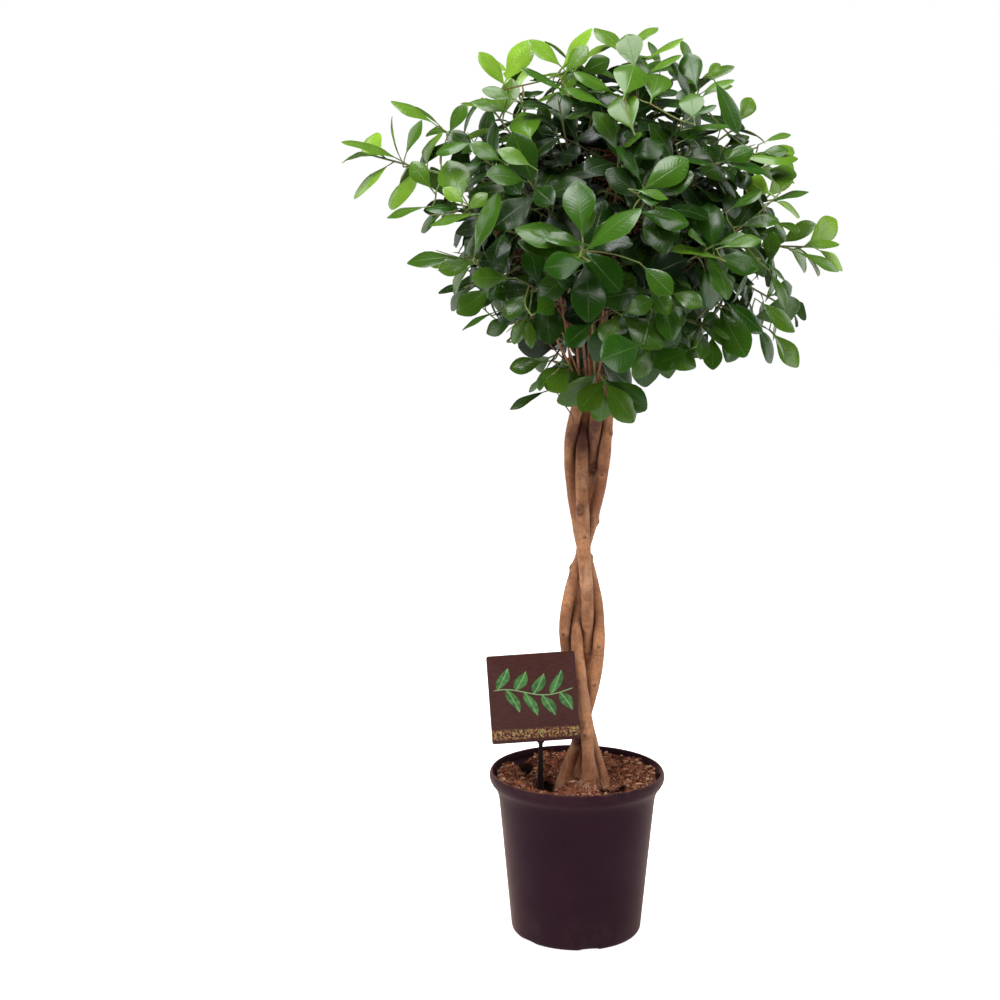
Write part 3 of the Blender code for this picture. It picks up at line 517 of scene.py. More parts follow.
def grow_tree():
    """Stems, then branches to every shoot, then shoots with their leaves."""
    room = Room()
    stems = {}
    limbs = []
    for name, stem in STEMS.items():
        trunk, leader, side_limbs = grow_stem(stem)
        pipes = [(points, taper(LIMB_RADII, LIMB_POINTS)) for points in side_limbs]
        stems[name] = dict(trunk=trunk, leader=leader, pipes=pipes)
        room.add(pipe(*trunk, 0.0), name)
        limbs.append((name, leader[1:]))
        for points, radii in pipes:
            room.add(pipe(points, radii, 0.0), name)
            limbs.append((name, points))
    ready = []
    for number, (tip, way, size) in enumerate((*SHOOTS, *back_shoots()), start=1):
        draw = random.Random(SEED * 1000 + number)
        for attempt in range(TRIES):
            nudge = Vector([draw.uniform(-1, 1) for _ in range(3)]) * NUDGE * attempt
            along = (Vector(way).normalized() + nudge).normalized()
            base = Vector(tip) - along * SHOOT_LENGTH
            shoot = pipe([base + along * SHOOT_FOOT, base + along * SHOOT_LENGTH], SHOOT_RADII, ROOM)
            found = grow_branch(limbs, base, along, room) if room.fits(shoot) else None
            if found:
                break
        if found is None:
            raise ValueError(f"no clear way for shoot {number}")
        owner, points, radii = found
        stems[owner]["pipes"].append((points, radii))
        room.add(pipe(points, radii, 0.0), owner)
        shoot = [base + along * GAP, base + along * SHOOT_LENGTH]
        room.add(pipe(shoot, SHOOT_RADII, 0.0), f"spray_{number:02d}_shoot")
        ready.append((number, base, along, size))
    sprays = [grow_spray(*shoot, room) for shoot in ready]
    return stems, sprays, limbs, room


# The camera stands before the plant and a little to its left, and looks down at it
CAMERA_PLACE = (-0.0996, -2.330, 0.937)
CAMERA_TILT = math.radians(-9)
CAMERA_LENS = 67.1
FILM_WIDTH = 36.0
VIEW = 1000

# Single leaves, in a view of 1000 by 1000: foot across and down, tip across and down, breadth,
# and tone from a full-grown leaf, 0, to a new one, 1, set from how light each leaf looks, so that it
# also holds painted light and shade
SINGLE_LEAVES = (
    # Top of the crown
    (504, 84, 479, 50, 17, 0.85), (506, 80, 532, 38, 24, 1.00), (560, 65, 528, 38, 16, 0.75),
    (563, 66, 592, 26, 13, 0.95), (566, 72, 588, 44, 18, 0.45), (582, 72, 612, 58, 20, 0.15),
    (634, 66, 626, 30, 28, 0.40), (625, 94, 636, 57, 36, 0.50), (648, 58, 684, 36, 6, 0.70),
    (650, 72, 682, 53, 8, 0.50), (652, 98, 660, 68, 32, 0.50), (696, 86, 686, 50, 25, 0.35),
    (708, 76, 722, 62, 12, 0.60), (703, 92, 735, 78, 9, 0.60), (694, 118, 690, 90, 26, 0.35),
    (716, 83, 740, 135, 19, 0.10), (694, 115, 717, 103, 7, 0.20), (690, 128, 730, 124, 7, 0.40),
    (684, 140, 721, 127, 10, 0.20), (562, 90, 520, 65, 8, 0.20), (604, 105, 563, 86, 10, 0.35),
    (612, 92, 573, 70, 13, 0.50), (632, 128, 618, 93, 33, 0.45), (530, 138, 520, 108, 34, 0.50),
    (512, 98, 481, 88, 13, 0.50), (508, 112, 470, 100, 12, 0.45), (450, 131, 467, 103, 15, 0.30),
    # Left side
    (432, 122, 390, 99, 11, 0.55), (406, 153, 421, 118, 11, 0.40), (396, 158, 340, 140, 9, 0.60),
    (470, 143, 434, 153, 12, 0.20), (500, 160, 469, 142, 17, 0.50), (530, 165, 497, 148, 16, 0.40),
    (461, 200, 447, 157, 33, 0.50), (464, 202, 442, 187, 14, 0.80), (430, 187, 410, 160, 20, 0.45),
    (468, 209, 488, 192, 14, 0.60), (458, 208, 424, 208, 9, 0.10), (424, 207, 385, 217, 8, 0.50),
    (475, 214, 428, 225, 8, 0.50), (458, 258, 405, 262, 15, 0.45), (472, 262, 437, 270, 20, 0.45),
    (490, 290, 455, 314, 24, 0.30), (507, 278, 470, 278, 22, 0.40), (475, 252, 498, 190, 20, 0.05),
    # Middle
    (582, 232, 577, 178, 34, 0.25), (583, 243, 513, 227, 24, 0.20), (583, 245, 542, 235, 15, 0.35),
    (586, 250, 642, 206, 22, 0.25), (583, 262, 543, 268, 28, 0.15), (585, 252, 620, 291, 34, 0.25),
    (645, 188, 690, 158, 30, 0.30), (640, 180, 616, 144, 12, 0.30), (638, 190, 670, 198, 9, 0.35),
    (642, 212, 691, 223, 22, 0.10), (713, 247, 708, 201, 29, 0.25), (717, 258, 665, 247, 9, 0.50),
    (718, 258, 761, 268, 24, 0.10), (645, 268, 672, 294, 24, 0.40), (652, 287, 668, 313, 22, 0.30),
    (705, 272, 712, 312, 20, 0.05),
    # Right side
    (725, 246, 763, 238, 13, 0.40), (742, 225, 780, 218, 15, 0.35), (770, 262, 772, 230, 17, 0.45),
    (803, 247, 841, 243, 10, 0.60), (800, 253, 841, 271, 10, 0.55), (765, 262, 788, 282, 4, 0.30),
    (771, 274, 787, 310, 11, 0.40), (766, 141, 792, 133, 7, 0.60), (742, 157, 800, 157, 14, 0.50),
    (763, 152, 790, 149, 12, 0.20), (781, 187, 785, 161, 28, 0.60), (769, 193, 748, 180, 22, 1.00),
    (733, 207, 763, 189, 12, 0.40), (770, 202, 810, 190, 7, 0.30), (777, 223, 802, 231, 8, 0.50),
    (725, 160, 755, 148, 18, 0.30), (725, 163, 768, 172, 10, 0.30), (762, 303, 797, 332, 17, 0.40),
    (727, 303, 765, 333, 20, 0.10), (722, 312, 745, 356, 32, 0.40), (775, 335, 800, 368, 20, 0.50),
    (712, 338, 713, 370, 20, 0.40), (688, 350, 652, 368, 22, 0.30),
    # Under the crown
    (541, 362, 508, 368, 18, 0.45), (568, 368, 548, 388, 30, 0.45), (603, 382, 580, 410, 26, 0.50),
    (607, 384, 635, 424, 28, 0.50), (640, 345, 600, 360, 40, 0.15), (547, 377, 527, 392, 7, 0.20),
    (543, 392, 508, 409, 9, 0.35), (590, 325, 565, 345, 24, 0.15), (537, 312, 556, 300, 22, 0.35),
    (525, 318, 512, 345, 14, 0.50), (528, 318, 533, 350, 12, 0.40), (495, 312, 460, 330, 5, 0.50),
)
# Single leaves: bend, steps forward, foremost place, longest blade, twig, tones, and how they are sought
SINGLE_CURL = 0.36
SINGLE_STEP = 0.009
SINGLE_TRIES = 16
SINGLE_FRONT = -0.262
SINGLE_LONGEST = 0.072
SINGLE_TWIG = (0.0010, 0.0008)
# The tones of the single leaves are lowered by a share and a power as painted shade on leaves at the front
SINGLE_TONE = 0.78
TONE_POWER = 1.8
SINGLE_DEPTH = 0.85
SINGLE_STRAY = 0.02
SIDEWAYS = 2.2
SINGLE_ARM = 0.150
BRANCH_SHARES = (0.25, 0.75)
TWIG_SHARES = (0.2, 0.5, 0.8)
LEAF_SHARES = (0.15, 0.5, 0.85)
OUTER_REACH = (0.290, 0.245, 0.235)
SIGHT = 0.4
OWN_DEPTH = 0.003


def in_view(x, y, depth):
    """The point seen at a place of the view, on the upright plane that far back: the camera's sight
    line through the place, followed to the plane."""
    focus = CAMERA_LENS / FILM_WIDTH * VIEW
    ahead = Vector((0.0, math.cos(CAMERA_TILT), math.sin(CAMERA_TILT)))
    above = Vector((0.0, -math.sin(CAMERA_TILT), math.cos(CAMERA_TILT)))
    ray = ahead + Vector(((x - VIEW / 2) / focus, 0.0, 0.0)) - above * ((y - VIEW / 2) / focus)
    return Vector(CAMERA_PLACE) + ray * ((depth - CAMERA_PLACE[1]) / ray.y)


def single_leaf(foot, tip, breadth, tone, depth):
    """A leaf from its outline in the view. Where it looks narrower than a leaf is, it is turned about
    its length; where it looks broader, it leans towards the eye or away and is longer than it looks."""
    start, end = in_view(*foot, depth), in_view(*tip, depth)
    run = (end - start).length
    wide = (in_view(foot[0] + breadth, foot[1], depth) - start).length
    along = (end - start).normalized()
    eye = Vector(CAMERA_PLACE) - start
    eye = (eye - eye.project(along)).normalized()
    length = max(run, min(wide / BLADE_WIDTH, SINGLE_LONGEST))
    lean = math.acos(min(1.0, run / length))
    lean = -lean if along.z > 0 else lean
    out = along * math.cos(lean) + eye * math.sin(lean)
    up = eye * math.cos(lean) - along * math.sin(lean)
    face = min(1.0, wide / (BLADE_WIDTH * length))
    aside = out.cross(up)
    aside = aside if aside.z > 0 else -aside
    up = up * face + aside * math.sqrt(1 - face * face)
    bend = SINGLE_CURL / 2
    out, up = out * math.cos(bend) + up * math.sin(bend), up * math.cos(bend) - out * math.sin(bend)
    return dict(
        root=start - out * PETIOLE, out=out, up=up, curl=SINGLE_CURL, tone=tone**TONE_POWER * SINGLE_TONE,
        length=length, width=max(length * BLADE_WIDTH, wide),
    )


def covered(leaf, room):
    """How many of three places along a leaf are hidden from the camera by what already stands."""
    count = 0
    lows, highs = np.array(room.lows), np.array(room.highs)
    for share in LEAF_SHARES:
        place = leaf_frame(leaf, PETIOLE + share * leaf["length"])[0]
        way = (Vector(CAMERA_PLACE) - place).normalized()
        start = place + way * OWN_DEPTH
        ends = np.array([start[:], (start + way * SIGHT)[:]])
        near = np.flatnonzero(np.all((lows <= ends.max(axis=0)) & (highs >= ends.min(axis=0)), axis=1))
        count += any(room.trees[k].ray_cast(start, way, SIGHT)[0] is not None for k in near)
    return count


def reach_twig(carriers, leaf, room):
    """A thin twig to a leaf's foot from the nearest wood that it can reach clear of the rest."""
    root, out = leaf["root"], leaf["out"]
    choices = []
    for owner, start, ahead in places_on(carriers, TWIG_SHARES):
        way = root - start
        if way.length <= SINGLE_ARM:
            aside = math.hypot(way.x, way.z) * SIDEWAYS + abs(way.y) + max(0.0, way.y) * SIDEWAYS
            choices.append((aside, owner, start, ahead))
    choices.sort(key=lambda choice: choice[0])
    for _, owner, start, ahead in choices[:NEAREST * 3]:
        pull = (root - start).length * BRANCH_PULL
        lift = (ahead * ALONG_THE_LIMB + (root - start).normalized()) * pull
        points = hermite(start, lift, root, out * pull, BRANCH_POINTS)
        if room.fits(pipe(points, taper(SINGLE_TWIG, BRANCH_POINTS), 0.0), but=(owner,)):
            return points
    return None


def grow_singles(stems, sprays, room):
    """The single leaves, each brought forward until it is clear of the rest and seen, on its twig."""
    carriers = [(spray["name"] + "_shoot", spray["points"]) for spray in sprays]
    for name, stem in stems.items():
        carriers += [(name, points) for points, _ in stem["pipes"]]
    draw = random.Random(SEED * 11)
    middle = Vector(CROWN_MIDDLE)
    grown = []
    for number, (x0, y0, x1, y1, breadth, tone) in enumerate(SINGLE_LEAVES):
        spot = in_view((x0 + x1) / 2, (y0 + y1) / 2, 0.0) - middle
        inside = 1 - (spot.x / OUTER_REACH[0]) ** 2 - (spot.z / OUTER_REACH[2]) ** 2
        depth = middle.y - OUTER_REACH[1] * SINGLE_DEPTH * math.sqrt(max(0.0, inside))
        depth += draw.uniform(-SINGLE_STRAY, SINGLE_STRAY)
        best = None
        for _ in range(SINGLE_TRIES):
            if depth < SINGLE_FRONT:
                break
            leaf = single_leaf((x0, y0), (x1, y1), breadth, tone, depth)
            depth -= SINGLE_STEP
            if not room.fits(leaf_room(leaf, 0.0)):
                continue
            hidden = covered(leaf, room)
            if best and hidden >= best[0]:
                continue
            twig = reach_twig(carriers, leaf, room)
            if twig:
                best = (hidden, leaf, twig)
            if twig and hidden == 0:
                break
        if best:
            _, leaf, twig = best
            name = f"single_{number:03d}"
            room.add(leaf_room(leaf, 0.0), name)
            room.add(pipe(twig, taper(SINGLE_TWIG, BRANCH_POINTS), 0.0), name + "_shoot")
            carriers.append((name + "_shoot", twig))
            grown.append(dict(name=name, leaves=[leaf], twig=twig))
    return grown


# Leaves that fill the crown behind its outline: thin twigs off the wood, shorter than the shoots
FILL_TRIES = 2600
FILL_TWIGS = 165
FILL_LENGTH = 0.055
FILL_RADII = (0.0012, 0.0009)
FILL_LEAVES = 6
FILL_SHARE = (0.25, 0.92)
FILL_REACH = (0.245, 0.215, 0.212)
FILL_GROUP = 32
FILL_NUMBER = 100
FILL_STRAY = 2.2
FILL_LIFT = (-0.80, 1.0)
FILL_POWER = 0.6
FILL_LEAN = 0.6
FILL_RISE = 0.25
FILL_SIZES = (0.72, 1.05)
# Kept open in front of the limbs: half width, highest place and how far back
OPEN_WOOD = (0.062, 0.850, 0.060)
# How far the dense leaves reach in the view: height in it, left and right ends
DENSE = (
    (55, 545, 690), (75, 515, 722), (95, 498, 732), (120, 470, 745), (150, 462, 770), (190, 455, 785),
    (230, 455, 790), (265, 458, 795), (295, 470, 785), (320, 500, 780), (345, 530, 745), (365, 548, 705),
)
DENSE_MARGIN = 16
# Hollows among the boughs, as in the view: across, down and reach; few leaves grow in their front part
CROWN_HOLLOWS = (
    (610, 180, 30), (690, 190, 17), (548, 207, 26), (642, 222, 15), (612, 255, 17), (505, 222, 18),
    (600, 150, 18), (682, 268, 15), (560, 142, 15), (470, 232, 12), (578, 312, 30), (655, 255, 12),
    (562, 344, 24), (592, 352, 18),
)
HOLLOW_FRONT = 0.04
DEEP_HOLLOW = 0.45
# How much painted shade the leaves in a hollow get
HOLLOW_SHADE = 0.8
BLADE_MIDDLE = 0.6


def seen_at(place):
    """Where a point shows in the view: across and down."""
    focus = CAMERA_LENS / FILM_WIDTH * VIEW
    way = Vector(place) - Vector(CAMERA_PLACE)
    ahead = way.y * math.cos(CAMERA_TILT) + way.z * math.sin(CAMERA_TILT)
    above = way.z * math.cos(CAMERA_TILT) - way.y * math.sin(CAMERA_TILT)
    return VIEW / 2 + focus * way.x / ahead, VIEW / 2 - focus * above / ahead


def in_hollow(place):
    """How deep in a hollow of the crown a point lies: falls from its middle as a bell curve."""
    x, y = seen_at(place)
    return max(math.exp(-((x - a) ** 2 + (y - b) ** 2) / reach**2) for a, b, reach in CROWN_HOLLOWS)


def in_dense(leaf):
    """Whether the middle of a leaf lies inside the dense part of the crown, as the view shows it."""
    place = leaf_frame(leaf, PETIOLE + BLADE_MIDDLE * leaf["length"])[0]
    x, y = seen_at(place)
    rows = np.array(DENSE)
    if not rows[0, 0] < y < rows[-1, 0] or (place.y < HOLLOW_FRONT and in_hollow(place) > DEEP_HOLLOW):
        return False
    left, right = np.interp(y, rows[:, 0], rows[:, 1]), np.interp(y, rows[:, 0], rows[:, 2])
    return left + DENSE_MARGIN < x < right - DENSE_MARGIN


def grow_fill(limbs, room):
    """Twigs at seeded places inside the crown, each kept only where it reaches the wood clear of the rest."""
    draw = random.Random(SEED * 7)
    middle = Vector(CROWN_MIDDLE)
    wanted = []
    for k in range(FILL_TRIES):
        lift = draw.uniform(*FILL_LIFT)
        turn = k * GOLDEN_ANGLE
        flat = math.sqrt(max(0.0, 1 - lift * lift))
        way = Vector((flat * math.cos(turn), flat * math.sin(turn), lift))
        share = FILL_SHARE[0] + (FILL_SHARE[1] - FILL_SHARE[0]) * draw.random() ** FILL_POWER
        tip = middle + Vector([w * r * share for w, r in zip(way, FILL_REACH)])
        if abs(tip.x) < OPEN_WOOD[0] and tip.z < OPEN_WOOD[1] and tip.y < OPEN_WOOD[2]:
            continue
        lean = Vector([draw.uniform(-FILL_LEAN, FILL_LEAN) for _ in range(3)]) + Vector((0, 0, FILL_RISE))
        wanted.append((tip, (way + lean).normalized(), draw.uniform(*FILL_SIZES)))
    twigs = []
    for tip, along, size in wanted:
        if len(twigs) == FILL_TWIGS:
            break
        base = tip - along * FILL_LENGTH
        body = pipe([base, tip], FILL_RADII, ROOM)
        found = grow_branch(limbs, base, along, room) if room.fits(body) else None
        if not found:
            continue
        name = f"fill_{FILL_NUMBER + len(twigs)}"
        leaves = []
        first = draw.uniform(0, 2 * math.pi)
        for k in range(FILL_LEAVES):
            root = tip - along * (LEAF_START + k * LEAF_SPACING)
            for attempt in range(TRIES):
                draws = [draw.uniform(-FILL_STRAY, FILL_STRAY) for _ in range(4)]
                draws[3] /= FILL_STRAY
                turn = first + k * GOLDEN_ANGLE
                leaf = try_leaf(root, along, turn, k / (FILL_LEAVES - 1), size, draws, attempt)
                if in_dense(leaf) and room.fits(leaf_room(leaf, 0.0)):
                    room.add(leaf_room(leaf, 0.0), name)
                    leaves.append(leaf)
                    break
        if len(leaves) < 2:
            continue
        room.add(pipe([base, tip], FILL_RADII, 0.0), name)
        twigs.append(dict(name=name, points=[base, tip], radii=FILL_RADII, leaves=leaves, twig=found[1]))
    return twigs


STEM_GROWTH, SPRAYS, LIMBS, CROWN_ROOM = grow_tree()
SINGLES = grow_singles(STEM_GROWTH, SPRAYS, CROWN_ROOM)
FILL = grow_fill(LIMBS, CROWN_ROOM)


# Surfaces


def unit(vectors):
    """Vectors divided by their lengths."""
    return vectors / np.linalg.norm(vectors, axis=-1, keepdims=True)


def skin(name, points, quads, tris, values=None, slots=None, finishes=(), crease=50):
    """A closed piece from arrays of points, quads and triangles, turned so that its faces point out.

    values are numbers at the points, slots the finish of each face."""
    halves = np.concatenate([tris, quads[:, :3], quads[:, [0, 2, 3]]])
    a, b, c = (points[halves[:, k]] for k in range(3))
    if np.einsum("ij,ij->", a, np.cross(b, c)) < 0:
        quads, tris = quads[:, ::-1], tris[:, ::-1]
    mesh = bpy.data.meshes.new(name)
    mesh.vertices.add(len(points))
    mesh.vertices.foreach_set("co", np.ascontiguousarray(points, dtype=np.float32).ravel())
    corners = np.concatenate([quads.ravel(), tris.ravel()]).astype(np.int32)
    mesh.loops.add(len(corners))
    mesh.loops.foreach_set("vertex_index", corners)
    starts = np.concatenate([np.arange(len(quads)) * 4, len(quads) * 4 + np.arange(len(tris)) * 3])
    mesh.polygons.add(len(starts))
    mesh.polygons.foreach_set("loop_start", starts.astype(np.int32))
    if slots is not None:
        mesh.polygons.foreach_set("material_index", np.asarray(slots, dtype=np.int32))
    mesh.update(calc_edges=True)
    for label, numbers in (values or {}).items():
        layer = mesh.attributes.new(label, "FLOAT", "POINT")
        layer.data.foreach_set("value", np.asarray(numbers, dtype=np.float32).ravel())
    mesh.shade_smooth()
    mesh.set_sharp_from_angle(angle=math.radians(crease))
    for finish in finishes:
        mesh.materials.append(finish)
    piece = bpy.data.objects.new(name, mesh)
    bpy.context.scene.collection.objects.link(piece)
    return piece


def tubes(rings):
    """Points, quads and triangles of closed tubes from rings (tube, ring, point, xyz): each end is
    closed by a fan to the middle of its ring."""
    count, rows, sides, _ = rings.shape
    ends = rings[:, [0, -1]].mean(axis=2)
    points = np.concatenate([rings.reshape(count, rows * sides, 3), ends], axis=1).reshape(-1, 3)
    row, side = np.meshgrid(np.arange(rows - 1), np.arange(sides), indexing="ij")
    after = (side + 1) % sides
    quads = np.stack([row * sides + side, row * sides + after], axis=-1)
    quads = np.concatenate([quads, quads[..., ::-1] + sides], axis=-1).reshape(-1, 4)
    turn = np.arange(sides)
    after = (turn + 1) % sides
    low = np.stack([after, turn, np.full(sides, rows * sides)], axis=-1)
    high = np.stack([turn, after, np.full(sides, 1)], axis=-1) + (rows - 1) * sides
    high[:, 2] = rows * sides + 1
    step = (np.arange(count) * (rows * sides + 2))[:, None, None]
    tris = np.concatenate([low, high])
    return points, (quads[None] + step).reshape(-1, 4), (tris[None] + step).reshape(-1, 3)


def at_points(numbers):
    """Numbers of rings (tube, ring, point) in the order of the points that tubes makes."""
    count = len(numbers)
    ends = numbers[:, [0, -1]].mean(axis=2)
    return np.concatenate([numbers.reshape(count, -1), ends], axis=1).ravel()


def joined_skin(parts):
    """Several sets of points, quads, triangles and values as one set."""
    points, quads, tris, labels = [], [], [], {}
    count = 0
    for some, four, three, values in parts:
        points.append(some)
        quads.append(four + count)
        tris.append(three + count)
        for label, numbers in values.items():
            labels.setdefault(label, []).append(numbers)
        count += len(some)
    values = {label: np.concatenate(numbers) for label, numbers in labels.items()}
    return np.concatenate(points), np.concatenate(quads), np.concatenate(tris), values


def curve_through(points, steps):
    """A Catmull-Rom curve: between two points a cubic whose slope at each is half the way from the
    point before to the point after. The rows may hold a radius beside the place."""
    rows = np.asarray(points, dtype=float)
    rows = np.concatenate([[2 * rows[0] - rows[1]], rows, [2 * rows[-1] - rows[-2]]])
    t = np.linspace(0, 1, steps, endpoint=False)[None, :, None]
    a, b, c, d = (rows[k : len(rows) - 3 + k, None] for k in range(4))
    curve = 2 * b + (c - a) * t + (2 * a - 5 * b + 4 * c - d) * t**2
    curve = (curve + (3 * b - a - 3 * c + d) * t**3) / 2
    return np.concatenate([curve.reshape(-1, rows.shape[1]), rows[-2:-1]])


def run_of(path):
    """How far along a path each of its points is."""
    return np.concatenate([[0.0], np.cumsum(np.linalg.norm(np.diff(path, axis=0), axis=1))])


def rings_along(path, radii, sides):
    """Circles (ring, point, xyz) square to a path. radii are (ring) or (ring, point)."""
    ahead = unit(np.gradient(path, axis=0))
    spare = np.eye(3)[np.argmin(np.abs(path[-1] - path[0]))]
    side = unit(np.cross(ahead, spare))
    other = np.cross(ahead, side)
    turn = np.arange(sides) * 2 * math.pi / sides
    circle = np.cos(turn)[None, :, None] * side[:, None] + np.sin(turn)[None, :, None] * other[:, None]
    radii = np.asarray(radii, dtype=float)
    radii = radii[:, None] if radii.ndim == 1 else radii
    return path[:, None] + radii[..., None] * circle


def tumble(places, seed, waves=28, size=(60.0, 420.0)):
    """Smooth noise in about -1 to 1: a sum of cosines with seeded directions, lengths and phases,
    each weaker as it gets finer."""
    draw = np.random.default_rng(seed)
    ways = unit(draw.normal(size=(waves, places.shape[-1])))
    finer = np.linspace(0, 1, waves)
    pace = size[0] * (size[1] / size[0]) ** finer
    phase = draw.uniform(0, 2 * math.pi, waves)
    weight = (1 - 0.75 * finer) / math.sqrt(waves) * 2
    return np.cos(places @ (ways * pace[:, None]).T + phase) @ weight


# Shaders


class Paint:
    """Adds nodes to one material or group. An input is a number, a colour or another node's output."""

    def __init__(self, tree):
        self.tree = tree

    def plug(self, value, socket):
        """Links an output to a socket, or sets the socket to a value."""
        if isinstance(value, bpy.types.NodeSocket):
            self.tree.links.new(value, socket)
        elif socket.type == "RGBA":
            socket.default_value = (*value[:3], 1.0)
        else:
            socket.default_value = value

    def add(self, kind, inputs, **settings):
        """The outputs of a new node with its inputs plugged."""
        node = self.tree.nodes.new("ShaderNode" + kind)
        for key, value in settings.items():
            setattr(node, key, value)
        for key, value in inputs.items():
            self.plug(value, node.inputs[key])
        return node.outputs

    def use(self, group, **inputs):
        """A group with its own values."""
        return self.add("Group", inputs, node_tree=group)

    def math(self, operation, *values):
        return self.add("Math", dict(enumerate(values)), operation=operation)[0]

    def times(self, one, two):
        return self.math("MULTIPLY", one, two)

    def scaled(self, value, by, plus):
        """A number times another, plus a third."""
        return self.math("MULTIPLY_ADD", value, by, plus)

    def ramp(self, value, low, high, to_low=0.0, to_high=1.0):
        """A number taken smoothly from one range to another."""
        inputs = {"Value": value, "From Min": low, "From Max": high, "To Min": to_low, "To Max": to_high}
        return self.add("MapRange", inputs, interpolation_type="SMOOTHSTEP")["Result"]

    def mix(self, factor, one, two):
        """Two colours mixed by a factor."""
        return self.add("Mix", {0: factor, 6: one, 7: two}, data_type="RGBA")[2]

    def over(self, colour, *layers):
        """Inks laid over a colour, each by a number that is taken from one range to another."""
        for ink, value, *ranges in layers:
            colour = self.mix(self.ramp(value, *ranges), colour, ink)
        return colour

    def attribute(self, name):
        return self.add("Attribute", {}, attribute_name=name)["Fac"]

    def noise(self, place, scale, detail=3.0, roughness=0.55):
        inputs = {"Vector": place, "Scale": scale, "Detail": detail, "Roughness": roughness}
        return self.add("TexNoise", inputs)["Fac"]

    def place(self, scale=(1.0, 1.0, 1.0)):
        """Object coordinates, stretched."""
        return self.add("Mapping", {"Vector": self.add("TexCoord", {})["Object"], "Scale": scale})["Vector"]

    def height(self, place):
        return self.add("SeparateXYZ", {"Vector": place})["Z"]

    def distance(self, place, spot):
        return self.add("VectorMath", {0: place, 1: spot}, operation="DISTANCE")["Value"]

    def feed(self, shader, colour, roughness=None, height=None, strength=0.5, distance=0.001):
        """Links a colour, a roughness and a height to the shader; the height goes through a Bump."""
        self.plug(colour, shader.inputs["Base Color"])
        if roughness is not None:
            self.plug(roughness, shader.inputs["Roughness"])
        if height is not None:
            bump = self.add("Bump", {"Height": height, "Strength": strength, "Distance": distance})
            self.plug(bump["Normal"], shader.inputs["Normal"])


def finish(name, colour, roughness, specular):
    """A new material, the paint of its nodes, and its shader."""
    made = bpy.data.materials.new(name)
    made.use_nodes = True
    made.diffuse_color = (*colour, 1.0)
    shader = made.node_tree.nodes["Principled BSDF"]
    shader.inputs["Roughness"].default_value = roughness
    shader.inputs["Specular IOR Level"].default_value = specular
    return made, Paint(made.node_tree), shader


def group(name, inputs, outputs):
    """The paint of a new node group, its given inputs and its outputs. An input's default is a number,
    a colour or, for a place, None."""
    tree = bpy.data.node_groups.new(name, "ShaderNodeTree")
    for label, default in inputs.items():
        kind = "Vector" if default is None else "Color" if isinstance(default, tuple) else "Float"
        socket = tree.interface.new_socket(name=label, in_out="INPUT", socket_type="NodeSocket" + kind)
        if default is not None:
            socket.default_value = default
    for label in outputs:
        kind = "Color" if label == "Color" else "Float"
        tree.interface.new_socket(name=label, in_out="OUTPUT", socket_type="NodeSocket" + kind)
    return Paint(tree), tree.nodes.new("NodeGroupInput").outputs, tree.nodes.new("NodeGroupOutput").inputs


def mottle_group():
    """Cloudy and fine variation of a colour, with a height and a mask: two noises of different size."""
    inputs = dict(
        Place=None, Light=(0.5, 0.5, 0.5, 1.0), Dark=(0.2, 0.2, 0.2, 1.0), Coarse=20.0, Fine=200.0, Amount=0.6
    )
    paint, given, out = group("mottle", inputs, ("Color", "Height", "Mask"))
    cloud = paint.noise(given["Place"], given["Coarse"], 4.0)
    grain = paint.noise(given["Place"], given["Fine"], 3.0, 0.65)
    both = paint.math("ADD", paint.times(cloud, 0.62), paint.times(grain, 0.38))
    mask = paint.times(paint.ramp(both, 0.36, 0.64), given["Amount"])
    paint.plug(paint.mix(mask, given["Light"], given["Dark"]), out["Color"])
    paint.plug(grain, out["Height"])
    paint.plug(mask, out["Mask"])
    return paint.tree


def dust_group():
    """A pale film in patches, thicker low on the piece."""
    inputs = dict(
        Color=(0.1, 0.1, 0.1, 1.0), Dust=(0.35, 0.27, 0.20, 1.0), Place=None, Height=0.0, Low=0.0, High=0.1,
        Amount=0.2,
    )
    paint, given, out = group("dust", inputs, ("Color", "Mask"))
    patch = paint.ramp(paint.noise(given["Place"], 26.0, 5.0, 0.7), 0.40, 0.72)
    low = paint.ramp(given["Height"], given["Low"], given["High"], 1.0, 0.0)
    mask = paint.times(paint.times(patch, low), given["Amount"])
    paint.plug(paint.mix(mask, given["Color"], given["Dust"]), out["Color"])
    paint.plug(mask, out["Mask"])
    return paint.tree


def vein_group():
    """The midrib and side veins of a leaf from its own length and breadth, and a pale rim.
    A side vein is a line where the length less a share of the breadth passes a whole step."""
    paint, given, out = group("leaf_veins", dict(Steps=12.0, Slant=2.2), ("Midrib", "Veins", "Rim"))
    along = paint.attribute("along")
    breadth = paint.math("ABSOLUTE", paint.attribute("across"))
    edge = paint.scaled(along, -0.050, 0.085)
    phase = paint.math("SUBTRACT", paint.times(along, given["Steps"]), paint.times(breadth, given["Slant"]))
    line = paint.ramp(paint.math("PINGPONG", phase, 0.5), 0.34, 0.5)
    fade = paint.ramp(breadth, 0.55, 0.98, 1.0, 0.0)
    paint.plug(paint.ramp(breadth, 0.02, edge, 1.0, 0.0), out["Midrib"])
    paint.plug(paint.times(line, fade), out["Veins"])
    paint.plug(paint.ramp(breadth, 0.90, 1.0), out["Rim"])
    return paint.tree


MOTTLE = mottle_group()
DUST = dust_group()
VEINS = vein_group()


# Sizes and colours that a user may change


def colour_property(name, description, default):
    return FloatVectorProperty(
        name=name, description=description, subtype="COLOR", size=3, min=0.0, max=1.0, default=default
    )


def share_property(name, description, default):
    return FloatProperty(
        name=name, description=description, subtype="FACTOR", min=0.0, max=1.0, default=default
    )


def length_property(name, description, default):
    return FloatProperty(
        name=name, description=description, subtype="DISTANCE", unit="LENGTH", min=0.0, default=default
    )


